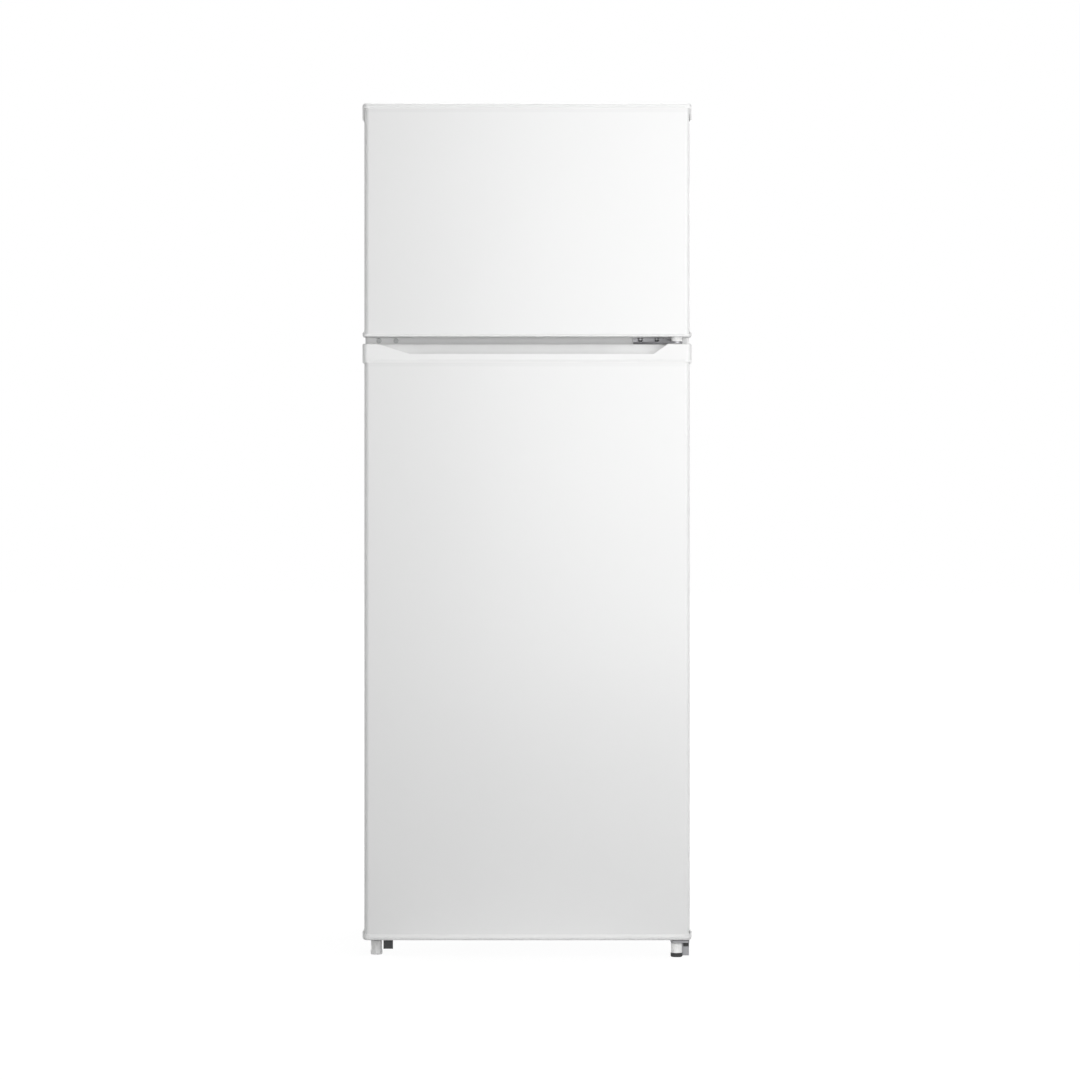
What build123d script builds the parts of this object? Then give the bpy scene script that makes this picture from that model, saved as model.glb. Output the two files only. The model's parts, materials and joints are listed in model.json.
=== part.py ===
"""Top freezer refrigerator with two doors hinged on the right, in millimetres.

X runs to the right, Y to the back and Z up. The origin is on the floor, under the middle of the whole object.
"""

import os

from build123d import *

os.makedirs("parts", exist_ok=True)

# Overall sizes
body_width = 545.0
cabinet_depth = 501.0
ground_clearance = 28.0
fridge_door_height = 998.2
freezer_door_height = 391.0
door_rise = 1.3  # lower edge of the fridge door above the cabinet's underside
door_gap = 11.5  # between the two doors
door_thickness = 44.0
seal_gap = 10.0  # from the back of a door to the cabinet, filled by the gasket
hinge_headroom = 16.0  # top of the freezer door above the top of the cabinet

# Sheets, walls and fits
sheet = 0.8
bend = 3.0
liner_wall = 1.5
liner_lip = 3.0  # edge of a liner between its opening and the steel round it
fridge_side_wall = 42.0
freezer_side_wall = 52.0
floor_wall = 47.0
top_wall = 52.0
fridge_back_wall = 45.5
freezer_back_wall = 55.5
running_fit = 0.05  # radial, for a pin in its bush
set_fit = 0.02  # radial, for a pin or screw held in its hole
air = 0.3  # least distance between pieces that move past each other

# Where the main planes lie
half_width = body_width / 2
overall_depth = door_thickness + seal_gap + cabinet_depth
front_y = -overall_depth / 2
back_y = overall_depth / 2
door_back_y = front_y + door_thickness
face_y = door_back_y + seal_gap
fridge_door_z = ground_clearance + door_rise
fridge_door_top_z = fridge_door_z + fridge_door_height
freezer_door_z = fridge_door_top_z + door_gap
freezer_door_top_z = freezer_door_z + freezer_door_height
gap_z = fridge_door_top_z + door_gap / 2
cabinet_top_z = freezer_door_top_z - hinge_headroom

# Cabinet front: steel flanges round the two openings, and the rail between them
rail_height = 58.5
rail_depth = 14.0
flange_x = half_width - fridge_side_wall + liner_lip
rail_low_z = gap_z - rail_height / 2
rail_high_z = gap_z + rail_height / 2
fridge_floor_z = ground_clearance + floor_wall
base_flange_z = fridge_floor_z - liner_lip
fridge_ceiling_z = rail_low_z - liner_lip
freezer_floor_z = rail_high_z + liner_lip
freezer_ceiling_z = cabinet_top_z - top_wall
top_flange_z = freezer_ceiling_z + liner_lip
fridge_half = half_width - fridge_side_wall
freezer_half = half_width - freezer_side_wall

# Cabinet back and the compressor bay under its rear
rear_rib = 2.0
rear_y = back_y - rear_rib - sheet
fridge_back_y = back_y - fridge_back_wall
freezer_back_y = back_y - freezer_back_wall
bay_depth = 163.0
bay_top_z = 220.0
bay_slope = 30.0
bay_y = rear_y - bay_depth
step_wall = 38.0
step_y = bay_y - step_wall
step_z = bay_top_z + step_wall + 2
liner_round = 20.0
liner_side_round = 12.0
top_lip = 14.0
top_round = 6.0

# Shelves inside
shelf_front_y = face_y + 93.5
shelf_back_gap = 14.0
shelf_levels = [step_z + 210, step_z + 390, step_z + 570]
cover_level = step_z + 22
glass_thickness = 4.0
glass_side_gap = 2.5
ledge_height = 8.0
ledge_width = 7.0
freezer_shelf_z = freezer_floor_z + 138
shelf_pitch = 26.0

# Hinge line, shared by both doors and the right foot
cap_overhang = 3.0
hinge_x = half_width + cap_overhang - 24.7
hinge_y = front_y + 23.0
pin_radius = 4.0
bush_radius = 7.0
bush_flange_radius = 9.2
hinge_plate = 3.0

# Door shells
cap_proud = 1.2  # the end caps stand this far in front of the steel skin
seam_bevel = 5.0  # sloped strip along the front of an end cap, where it meets the skin
wing_tip = 0.6  # thickness of a wing at its sloped end
skin_y = front_y + cap_proud
skin_round = 8.0
skin_return = 10.0
cap_round = 8.5
cap_back_round = 6.0
spigot_wall = 2.5
spigot_length = 10.0
boss_half = 13.0

# Door liners, gaskets and bins
rim_y = face_y + 23.5  # how far the liner's raised rim reaches into the cabinet
rim_gap = 12.5  # from the rim to the compartment's walls
rim_width = 26.0
rim_round = 6.0
recess_y = door_back_y - 10.5
gasket_x = hinge_x - 2.0
gasket_width = 16.0
bin_back_y = face_y + 73.5
bin_wall = 2.0
lug_size = (9.0, 34.0, 8.0)

# Feet and rear rollers
bracket_plate = 3.5
foot_radius = 9.2
foot_pad_height = 7.0
left_foot_x = 18.5 - half_width
left_foot_y = face_y + 12.0
roller_radius = 15.0
roller_width = 24.0
roller_x = half_width - 27.0
roller_y = back_y - 30.0
axle_radius = 3.0


def block(x, y, z, mode=Mode.ADD):
    """A rectangular block between two limits along each axis, joined to or cut from the part in hand."""
    with Locations(((x[0] + x[1]) / 2, (y[0] + y[1]) / 2, (z[0] + z[1]) / 2)):
        Box(x[1] - x[0], y[1] - y[0], z[1] - z[0], mode=mode)


def rod(x, y, low, high, radius, mode=Mode.ADD):
    """An upright round bar at x, y between two heights."""
    with Locations((x, y, (low + high) / 2)):
        Cylinder(radius, high - low, mode=mode)


def save(piece, name):
    piece.label = name
    export_step(piece, f"parts/{name}.step")


# Screws of the brackets: where each head sits, which way its point looks and what it passes through
screw_head = (4.4, 2.6)
screw_radius = 2.0
screw_hole = screw_radius + set_fit
top_screws = [(hinge_x - 36, face_y + 22), (hinge_x - 12, face_y + 22), (hinge_x - 24, face_y + 58)]
middle_screws = [hinge_x - 60, hinge_x - 32]
bottom_screws = [(hinge_x, face_y + 16), (hinge_x, face_y + 42), (hinge_x, face_y + 66)]
left_screws = [(left_foot_x + 4, face_y + 42), (left_foot_x + 4, face_y + 64)]
floor_plate_z = ground_clearance - bracket_plate
top_plate_z = cabinet_top_z + hinge_plate
middle_plate_low = fridge_door_top_z + 1.0
middle_plate_high = middle_plate_low + bracket_plate
middle_screw_z = middle_plate_high + screw_head[0] + 0.6


# Cabinet: outer panels
def side_panel(side):
    """Side sheet with its front edge folded inwards to make the steel face that the gaskets pull on."""
    with BuildPart() as panel:
        with BuildSketch(Plane.XY.offset(ground_clearance)) as section:
            with BuildLine():
                FilletPolyline(
                    (side * flange_x, face_y),
                    (side * half_width, face_y),
                    (side * half_width, rear_y),
                    radius=bend,
                )
                offset(amount=sheet, side=Side.LEFT if side > 0 else Side.RIGHT)
            make_face()
        extrude(amount=cabinet_top_z - top_lip - ground_clearance)
    return panel.part


for side, name in ((-1, "left_side_panel"), (1, "right_side_panel")):
    save(side_panel(side), name)

with BuildPart() as top_panel:
    with BuildSketch(Plane.XZ.offset(-face_y)) as section:
        with BuildLine():
            FilletPolyline(
                (-half_width, cabinet_top_z - top_lip),
                (-half_width, cabinet_top_z),
                (half_width, cabinet_top_z),
                (half_width, cabinet_top_z - top_lip),
                radius=top_round,
            )
            offset(amount=sheet, side=Side.RIGHT)
        make_face()
    extrude(amount=-(rear_y - face_y))
    with BuildSketch(Plane.XZ.offset(-face_y)) as face:
        with Locations((0, cabinet_top_z - top_lip / 2)):
            Rectangle(body_width, top_lip)
        fillet(face.vertices().group_by(Axis.Y)[-1], top_round)
        with Locations((0, (cabinet_top_z + top_flange_z) / 2)):
            Rectangle(2 * flange_x, cabinet_top_z - top_flange_z)
    extrude(amount=-sheet)
    for x, y in top_screws:
        rod(x, y, cabinet_top_z - 2 * sheet, cabinet_top_z + sheet, screw_hole, mode=Mode.SUBTRACT)
save(top_panel.part, "top_panel")

rib_count = 5
rib_pitch = body_width / (rib_count + 0.6)
with BuildPart() as rear_panel:
    block((-half_width, half_width), (rear_y, rear_y + sheet), (bay_top_z, cabinet_top_z))
    with BuildSketch(Plane.XZ.offset(-rear_y - sheet)) as ribs:
        with Locations((0, (bay_top_z + cabinet_top_z) / 2)):
            with GridLocations(rib_pitch, 1, rib_count, 1):
                SlotOverall(cabinet_top_z - bay_top_z - 120, 34, rotation=90)
    extrude(amount=-rear_rib)
    rib_tops = rear_panel.faces().sort_by(Axis.Y)[-rib_count:]
    chamfer([edge for top in rib_tops for edge in top.edges()], 0.6 * rear_rib)
save(rear_panel.part, "rear_panel")

# Compressor bay pieces that several others must clear
compressor_x = 70.0
compressor_y = bay_y + 78.0
spout_radius = 9.0
spout_bore = 7.0

with BuildPart() as base_pan:
    with BuildSketch(Plane.YZ) as section:
        with BuildLine():
            Polyline(
                (face_y + bend, ground_clearance),
                (bay_y, ground_clearance),
                (bay_y, bay_top_z - bay_slope),
                (bay_y + bay_slope, bay_top_z),
                (rear_y, bay_top_z),
            )
            offset(amount=sheet, side=Side.LEFT, kind=Kind.INTERSECTION)
        make_face()
    extrude(amount=half_width - sheet, both=True)
    block((-flange_x, flange_x), (face_y, face_y + sheet), (ground_clearance, base_flange_z))
    block((-flange_x, flange_x), (face_y, face_y + 2 * bend), (ground_clearance, ground_clearance + sheet))
    for x, y in bottom_screws + left_screws:
        rod(x, y, ground_clearance - 1, ground_clearance + 2, screw_hole, mode=Mode.SUBTRACT)
    rod(compressor_x, compressor_y, bay_top_z - 5, bay_top_z + 5, spout_radius, mode=Mode.SUBTRACT)
save(base_pan.part, "base_pan")

with BuildPart() as centre_rail:
    with BuildSketch(Plane.YZ) as section:
        with BuildLine():
            Polyline(
                (face_y + rail_depth, rail_low_z),
                (face_y, rail_low_z),
                (face_y, rail_high_z),
                (face_y + rail_depth, rail_high_z),
            )
            offset(amount=sheet, side=Side.RIGHT, kind=Kind.INTERSECTION)
        make_face()
    extrude(amount=flange_x, both=True)
    for x in middle_screws:
        with Locations((x, face_y, middle_screw_z)):
            Cylinder(screw_hole, 4 * sheet, rotation=(90, 0, 0), mode=Mode.SUBTRACT)
save(centre_rail.part, "centre_rail")


# Cabinet: liners and the foam between them and the panels
def fridge_space(grow, front):
    """The fridge compartment with its step over the compressor bay, grown outwards by a wall thickness."""
    with BuildPart() as space:
        with BuildSketch(Plane.YZ) as section:
            with BuildLine():
                FilletPolyline(
                    (front, fridge_floor_z - grow),
                    (step_y + grow, fridge_floor_z - grow),
                    (step_y + grow, step_z - grow),
                    (fridge_back_y + grow, step_z - grow),
                    (fridge_back_y + grow, fridge_ceiling_z + grow),
                    (front, fridge_ceiling_z + grow),
                    radius=[liner_round + grow, liner_round - grow, liner_round + grow, liner_round + grow],
                )
                Line((front, fridge_ceiling_z + grow), (front, fridge_floor_z - grow))
            make_face()
        extrude(amount=fridge_half + grow, both=True)
        walls = space.faces().filter_by(Axis.X)
        corners = [edge for wall in walls for edge in wall.edges() if edge.center().Y > front + 1]
        fillet(corners, liner_side_round + grow)
    return space.part


def freezer_space(grow, front):
    """The freezer compartment, grown outwards by a wall thickness."""
    with BuildPart() as space:
        with BuildSketch(Plane.YZ) as section:
            with BuildLine():
                FilletPolyline(
                    (front, freezer_floor_z - grow),
                    (freezer_back_y + grow, freezer_floor_z - grow),
                    (freezer_back_y + grow, freezer_ceiling_z + grow),
                    (front, freezer_ceiling_z + grow),
                    radius=liner_round + grow,
                )
                Line((front, freezer_ceiling_z + grow), (front, freezer_floor_z - grow))
            make_face()
        extrude(amount=freezer_half + grow, both=True)
        walls = space.faces().filter_by(Axis.X)
        corners = [edge for wall in walls for edge in wall.edges() if edge.center().Y > front + 1]
        fillet(corners, liner_side_round + grow)
    return space.part


def ledges(half, levels, front, back):
    """Pairs of ledges along the side walls; each level is the top of its ledges."""
    for level in levels:
        for side in (-1, 1):
            inner, outer = side * (half - ledge_width), side * (half + liner_wall / 2)
            block((min(inner, outer), max(inner, outer)), (front, back), (level - ledge_height, level))


cut_front = face_y - 20
ledge_front = shelf_front_y + 22
runner_height = 3.0
runner_x = 150.0

with BuildPart() as fridge_liner:
    add(fridge_space(liner_wall, face_y))
    block((-flange_x, flange_x), (face_y, face_y + liner_wall), (base_flange_z, rail_low_z))
    add(fridge_space(0, cut_front), mode=Mode.SUBTRACT)
    ledges(fridge_half, shelf_levels + [cover_level], ledge_front, fridge_back_y - 2 * liner_round)
    for x in (-runner_x, runner_x):
        block((x - 4, x + 4), (shelf_front_y, step_y - liner_round), (fridge_floor_z - 1, fridge_floor_z + runner_height))
    rod(compressor_x, compressor_y, step_z - 5, step_z + 5, spout_bore, mode=Mode.SUBTRACT)
save(fridge_liner.part, "fridge_liner")

with BuildPart() as freezer_liner:
    add(freezer_space(liner_wall, face_y))
    block((-flange_x, flange_x), (face_y, face_y + liner_wall), (rail_high_z, top_flange_z))
    add(freezer_space(0, cut_front), mode=Mode.SUBTRACT)
    ledges(freezer_half, [freezer_shelf_z], ledge_front - 20, freezer_back_y - 2 * liner_round)
save(freezer_liner.part, "freezer_liner")

coil_pocket = 7.0
coil_front, coil_back = face_y + 70, rear_y - 60
coil_low, coil_high = bay_top_z + 90, cabinet_top_z - 120
plate_half, plate_low, plate_high = 170.0, freezer_floor_z + 35, freezer_ceiling_z - 35
plate_pocket = 12.0

# The foam is cut into straight blocks round the two compartments, with a fine joint between neighbours
foam_joint = 0.3
foam_front = face_y + liner_wall
wall_x, upper_wall_x = fridge_half + liner_wall, freezer_half + liner_wall
floor_top, step_top = fridge_floor_z - liner_wall, step_z - liner_wall
middle_low, middle_high = fridge_ceiling_z + liner_wall, freezer_floor_z - liner_wall
roof_low = freezer_ceiling_z + liner_wall
step_front, bay_front = step_y + liner_wall, bay_y - sheet
bay_corner_low, bay_corner_high = bay_top_z - bay_slope + sheet, bay_top_z + sheet
fridge_rear, freezer_rear = fridge_back_y + liner_wall, freezer_back_y + liner_wall
whole_x, whole_y = (-half_width, half_width), (foam_front, rear_y)

with BuildPart() as cabinet_foam:
    with BuildSketch(Plane.YZ) as section:
        with BuildLine():
            Polyline(
                (foam_front, ground_clearance + sheet),
                (bay_front, ground_clearance + sheet),
                (bay_front, bay_corner_low),
                (bay_front + bay_slope, bay_corner_high),
                (rear_y, bay_corner_high),
                (rear_y, cabinet_top_z - sheet),
                (foam_front, cabinet_top_z - sheet),
                close=True,
            )
        make_face()
    extrude(amount=half_width - sheet, both=True)
    fillet(cabinet_foam.edges().filter_by(Axis.Y).group_by(Axis.Z)[-1], top_round - sheet)
    fillet(cabinet_foam.edges().filter_by(Axis.Z).group_by(Axis.Y)[0], bend)
    # Compartments
    with BuildSketch(Plane.YZ) as compartment:
        with BuildLine():
            Polyline(
                (foam_front, floor_top),
                (step_front, floor_top),
                (step_front, step_top),
                (fridge_rear, step_top),
                (fridge_rear, middle_low),
                (foam_front, middle_low),
                close=True,
            )
        make_face()
        fillet(compartment.vertices().sort_by_distance((step_front, step_top))[0], liner_round - liner_wall)
    extrude(amount=wall_x, both=True, mode=Mode.SUBTRACT)
    block((-upper_wall_x, upper_wall_x), (foam_front, freezer_rear), (middle_high, roof_low), mode=Mode.SUBTRACT)
    # Joints
    for side in (-1, 1):
        lower_joint = sorted((side * (wall_x - foam_joint), side * wall_x))
        upper_joint = sorted((side * (upper_wall_x - foam_joint), side * upper_wall_x))
        wall = sorted((side * wall_x, side * half_width))
        block(lower_joint, whole_y, (ground_clearance, middle_high), mode=Mode.SUBTRACT)
        block(upper_joint, whole_y, (middle_high, cabinet_top_z), mode=Mode.SUBTRACT)
        block(wall, whole_y, (bay_corner_high - foam_joint, bay_corner_high), mode=Mode.SUBTRACT)
    block(whole_x, whole_y, (bay_corner_low, bay_corner_low + foam_joint), mode=Mode.SUBTRACT)
    block(whole_x, whole_y, (middle_high, middle_high + foam_joint), mode=Mode.SUBTRACT)
    block((-wall_x, wall_x), (fridge_rear, rear_y), (step_top, step_top + foam_joint), mode=Mode.SUBTRACT)
    block((-wall_x, wall_x), (fridge_rear, rear_y), (middle_low - foam_joint, middle_low), mode=Mode.SUBTRACT)
    block(
        (-upper_wall_x, upper_wall_x), (freezer_rear, rear_y), (roof_low - foam_joint, roof_low), mode=Mode.SUBTRACT
    )
    block(
        (-wall_x, wall_x), (step_front - foam_joint, step_front), (ground_clearance, floor_top), mode=Mode.SUBTRACT
    )
    block(
        (-wall_x, wall_x),
        (bay_front + bay_slope - foam_joint, bay_front + bay_slope),
        (bay_corner_low, step_top),
        mode=Mode.SUBTRACT,
    )
    # Room for the pieces inside the walls
    add(centre_rail.part, mode=Mode.SUBTRACT)
    for side in (-1, 1):
        inner, outer = side * (half_width - sheet - coil_pocket), side * half_width
        block(
            (min(inner, outer), max(inner, outer)),
            (coil_front, coil_back),
            (coil_low, coil_high),
            mode=Mode.SUBTRACT,
        )
    block(
        (-plate_half, plate_half),
        (freezer_back_y, freezer_back_y + liner_wall + plate_pocket),
        (plate_low, plate_high),
        mode=Mode.SUBTRACT,
    )
    rod(compressor_x, compressor_y, bay_top_z - 5, step_z + 5, spout_radius, mode=Mode.SUBTRACT)
save(cabinet_foam.part, "cabinet_foam")


# Cooling circuit inside the walls
def serpentine(low, high, left, right, runs):
    """Corner points of a coil that runs to and fro between left and right while it climbs from low to high."""
    step = (high - low) / (runs - 1)
    points = []
    for run in range(runs):
        ends = (left, right) if run % 2 == 0 else (right, left)
        points += [(end, low + run * step) for end in ends]
    return points, 0.45 * step


coil_radius = 2.4
coil_margin = 20.0
coil_x = half_width - sheet - coil_radius - air
with BuildPart() as condenser_coil:
    for side in (-1, 1):
        path, turn = serpentine(coil_low + coil_margin, coil_high - coil_margin, coil_front + coil_margin,
                                coil_back - coil_margin, 6)
        with BuildLine(Plane.YZ.offset(side * coil_x)) as run:
            FilletPolyline(*path, radius=turn)
        with BuildSketch(Plane(run.line @ 0, z_dir=run.line % 0)):
            Circle(coil_radius)
        sweep(path=run.line)
save(condenser_coil.part, "condenser_coil")

evaporator_sheet = 1.5
evaporator_tube = 4.0
evaporator_margin = 25.0
with BuildPart() as freezer_evaporator:
    back_of_liner = freezer_back_y + liner_wall
    block(
        (-plate_half + 5, plate_half - 5),
        (back_of_liner, back_of_liner + evaporator_sheet),
        (plate_low + 5, plate_high - 5),
    )
    path, turn = serpentine(plate_low + evaporator_margin, plate_high - evaporator_margin,
                            -plate_half + evaporator_margin, plate_half - evaporator_margin, 4)
    tube_y = back_of_liner + evaporator_sheet + 0.8 * evaporator_tube
    with BuildLine(Plane.XZ.offset(-tube_y)) as run:
        FilletPolyline(*path, radius=turn)
    with BuildSketch(Plane(run.line @ 0, z_dir=run.line % 0)):
        Circle(evaporator_tube)
    sweep(path=run.line)
save(freezer_evaporator.part, "freezer_evaporator")

# Shelves
trim_depth = 18.0
trim_height = 12.0
trim_side_gap = 1.5
glass_half = fridge_half - glass_side_gap
glass_front = shelf_front_y + 3
glass_back = fridge_back_y - shelf_back_gap


def glass_plate(level):
    block((-glass_half, glass_half), (glass_front, glass_back), (level, level + glass_thickness))


with BuildPart() as shelf_glass:
    for level in shelf_levels:
        glass_plate(level)
save(shelf_glass.part, "shelf_glass")

with BuildPart() as crisper_cover:
    glass_plate(cover_level)
save(crisper_cover.part, "crisper_cover")

with BuildPart() as shelf_trims:
    for level in shelf_levels + [cover_level]:
        for edge_y, inward in ((shelf_front_y, 1), (glass_back + 3, -1)):
            with BuildSketch(Plane.YZ) as section:
                with Locations((edge_y + inward * trim_depth / 2, level + glass_thickness / 2 + 1)):
                    RectangleRounded(trim_depth, trim_height, 3)
                with Locations(((glass_front + glass_back) / 2, level + glass_thickness / 2)):
                    Rectangle(glass_back - glass_front, glass_thickness, mode=Mode.SUBTRACT)
            extrude(amount=fridge_half - trim_side_gap, both=True)
save(shelf_trims.part, "shelf_trims")

rail_wire = 2.5
grid_wire = 1.6
wire_half = freezer_half - 3.0
wire_front, wire_back = shelf_front_y - 5, freezer_back_y - 12
wire_count = int(2 * (wire_half - 12) / shelf_pitch) + 1
with BuildPart() as freezer_shelf:
    for y in (wire_front + 25, (wire_front + wire_back) / 2, wire_back - 25):
        with Locations((0, y, freezer_shelf_z + rail_wire)):
            Cylinder(rail_wire, 2 * wire_half, rotation=(0, 90, 0))
    with Locations((0, (wire_front + wire_back) / 2, freezer_shelf_z + 2 * rail_wire + 0.8 * grid_wire)):
        with GridLocations(shelf_pitch, 1, wire_count, 1):
            Cylinder(grid_wire, wire_back - wire_front, rotation=(90, 0, 0))
save(freezer_shelf.part, "freezer_shelf")

# Control housing on the fridge ceiling, its lamp lens, knob and light switch
housing_half = 78.0
housing_front, housing_back = rim_y + 10, rim_y + 140
housing_low_z = fridge_ceiling_z - 43
housing_wall = 2.2
housing_mid_y = (housing_front + housing_back) / 2
lens_x, lens_size = -26.0, (76.0, 58.0)
knob_x, knob_radius, knob_height = 48.0, 21.0, 16.0
shaft_radius = 3.0
switch_x, switch_z = -40.0, fridge_ceiling_z - 24
switch_radius, switch_travel = 3.2, 5.0
lens_lip = 1.5

with BuildPart() as control_housing:
    with BuildSketch(Plane.XY.offset(housing_low_z)):
        with Locations((0, housing_mid_y)):
            RectangleRounded(2 * housing_half, housing_back - housing_front, 12)
    extrude(amount=fridge_ceiling_z - housing_low_z)
    fillet(control_housing.faces().sort_by(Axis.Z)[0].edges(), 6)
    offset(amount=-housing_wall, openings=control_housing.faces().sort_by(Axis.Z)[-1])
    with BuildSketch(Plane.XY.offset(housing_low_z - 1)):
        with Locations((lens_x, housing_mid_y)):
            RectangleRounded(*lens_size, 6)
        with Locations((knob_x, housing_mid_y)):
            Circle(shaft_radius + running_fit)
    extrude(amount=2 * housing_wall, mode=Mode.SUBTRACT)
    with Locations((switch_x, housing_front, switch_z)):
        Cylinder(switch_radius + running_fit, 4 * housing_wall, rotation=(90, 0, 0), mode=Mode.SUBTRACT)
save(control_housing.part, "control_housing")

with BuildPart() as lamp_lens:
    with BuildSketch(Plane.XY.offset(housing_low_z - lens_lip)):
        with Locations((lens_x, housing_mid_y)):
            RectangleRounded(*lens_size, 6)
    extrude(amount=lens_lip + housing_wall)
    with BuildSketch(Plane.XY.offset(housing_low_z + housing_wall)):
        with Locations((lens_x, housing_mid_y)):
            RectangleRounded(lens_size[0] + 4, lens_size[1] + 4, 8)
    extrude(amount=1.5)
    fillet(lamp_lens.faces().sort_by(Axis.Z)[0].edges(), 1.2)
save(lamp_lens.part, "lamp_lens")

with BuildPart() as thermostat_knob:
    knob_top = housing_low_z - 0.4
    rod(knob_x, housing_mid_y, knob_top - 6, knob_top, knob_radius)
    fillet(thermostat_knob.faces().sort_by(Axis.Z)[0].edges(), 2)
    with BuildSketch(Plane.XY.offset(knob_top - knob_height)):
        with Locations((knob_x, housing_mid_y)):
            SlotOverall(1.7 * knob_radius, 9, rotation=90)
    extrude(amount=knob_height - 5)
    fillet(thermostat_knob.faces().sort_by(Axis.Z)[0].edges(), 2)
    block(
        (knob_x - 0.8, knob_x + 0.8),
        (housing_mid_y - knob_radius, housing_mid_y - knob_radius + 7),
        (knob_top - knob_height - 1, knob_top - knob_height + 1),
        mode=Mode.SUBTRACT,
    )
    rod(knob_x, housing_mid_y, knob_top - 2, housing_low_z + 12, shaft_radius)
save(thermostat_knob.part, "thermostat_knob")

with BuildPart() as light_switch:
    tip_y = rim_y + 0.5
    with BuildSketch(Plane.XZ.offset(-tip_y)):
        with Locations((switch_x, switch_z)):
            Circle(switch_radius)
    extrude(amount=-26)
    fillet(light_switch.faces().sort_by(Axis.Y)[0].edges(), 1.5)
    with BuildSketch(Plane.XZ.offset(-(housing_front + housing_wall + switch_travel + 1))):
        with Locations((switch_x, switch_z)):
            Circle(switch_radius + 2.5)
    extrude(amount=-2)
save(light_switch.part, "light_switch")

# Crisper
crisper_half = fridge_half - 25.5
crisper_front = shelf_front_y + 5
crisper_back = step_y - 7
crisper_low = fridge_floor_z + runner_height + air
crisper_high = cover_level - 6
crisper_wall = 2.5
with BuildPart() as crisper_drawer:
    with BuildSketch(Plane.XY.offset(crisper_low)):
        with Locations((0, (crisper_front + crisper_back) / 2)):
            RectangleRounded(2 * crisper_half, crisper_back - crisper_front, 16)
    extrude(amount=crisper_high - crisper_low)
    fillet(crisper_drawer.faces().sort_by(Axis.Z)[0].edges(), 8)
    offset(amount=-crisper_wall, openings=crisper_drawer.faces().sort_by(Axis.Z)[-1])
    with BuildSketch(Plane.XZ.offset(-crisper_front - crisper_wall)):
        with Locations((0, (crisper_low + crisper_high) / 2)):
            RectangleRounded(2 * crisper_half + 4, crisper_high - crisper_low, 10)
    extrude(amount=crisper_wall + 3.5)
    with BuildSketch(Plane.XZ.offset(-crisper_front)):
        with Locations((0, crisper_high - 20)):
            SlotOverall(0.73 * crisper_half, 22)
    extrude(amount=12, mode=Mode.SUBTRACT)
    with BuildSketch(Plane.XZ.offset(-crisper_front)):
        with Locations((0, crisper_high - 8)):
            SlotOverall(0.83 * crisper_half, 4)
    extrude(amount=6)
save(crisper_drawer.part, "crisper_drawer")

# Top hinge: plate on the cabinet, reaching forward into a pocket of the freezer door's top cap
with BuildPart() as top_hinge_bracket:
    with BuildSketch(Plane.XY.offset(cabinet_top_z)) as plate:
        with Locations((hinge_x, hinge_y)):
            Circle(boss_half)
        with Locations((hinge_x - 24, face_y + 11)):
            Rectangle(46, 2)
        make_hull()
        with Locations((hinge_x - 24, face_y + 41)):
            Rectangle(46, 62)
        fillet(plate.vertices().group_by(Axis.Y)[-1], 6)
        with Locations((hinge_x, hinge_y)):
            Circle(pin_radius + set_fit, mode=Mode.SUBTRACT)
        with Locations(*top_screws):
            Circle(screw_hole, mode=Mode.SUBTRACT)
    extrude(amount=hinge_plate)
save(top_hinge_bracket.part, "top_hinge_bracket")

hood_wall = 2.0
hood_x = (hinge_x - 52, hinge_x + 8)
hood_y = (face_y + 2, face_y + 78)
hood_top = freezer_door_top_z - 1.5
with BuildPart() as top_hinge_cover:
    block(hood_x, hood_y, (cabinet_top_z, hood_top))
    fillet(top_hinge_cover.edges().filter_by(Axis.Z), 5)
    fillet(top_hinge_cover.faces().sort_by(Axis.Z)[-1].edges(), 3)
    offset(amount=-hood_wall, openings=top_hinge_cover.faces().sort_by(Axis.Z)[0])
    block(
        (hood_x[0] + 6, hood_x[1] + 1),
        (hood_y[0] - 1, hood_y[0] + 14),
        (cabinet_top_z - 1, top_plate_z + 0.5),
        mode=Mode.SUBTRACT,
    )
save(top_hinge_cover.part, "top_hinge_cover")

# Middle hinge: flange on the rail and a plate in the gap between the doors
flange_left = hinge_x - 72
flange_right = hinge_x - 20
flange_half = 10.3
with BuildPart() as middle_hinge_bracket:
    block((flange_left, flange_right), (face_y - hinge_plate, face_y), (gap_z - flange_half, gap_z + flange_half))
    block(
        (flange_right - 1, hinge_x - 8),
        (face_y - hinge_plate, face_y),
        (middle_plate_low, freezer_door_z - 1),
    )
    with BuildSketch(Plane.XY.offset(middle_plate_low)) as plate:
        with Locations((hinge_x, hinge_y)):
            Circle(9.8)
        with Locations(((flange_left + flange_right) / 2, face_y - hinge_plate / 2)):
            Rectangle(flange_right - flange_left, hinge_plate)
        make_hull()
    extrude(amount=bracket_plate)
    rod(hinge_x, hinge_y, middle_plate_low - 1, middle_plate_high + 1, pin_radius + set_fit, mode=Mode.SUBTRACT)
    for x in middle_screws:
        with Locations((x, face_y, middle_screw_z)):
            Cylinder(screw_hole, 4 * hinge_plate, rotation=(90, 0, 0), mode=Mode.SUBTRACT)
save(middle_hinge_bracket.part, "middle_hinge_bracket")

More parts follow.
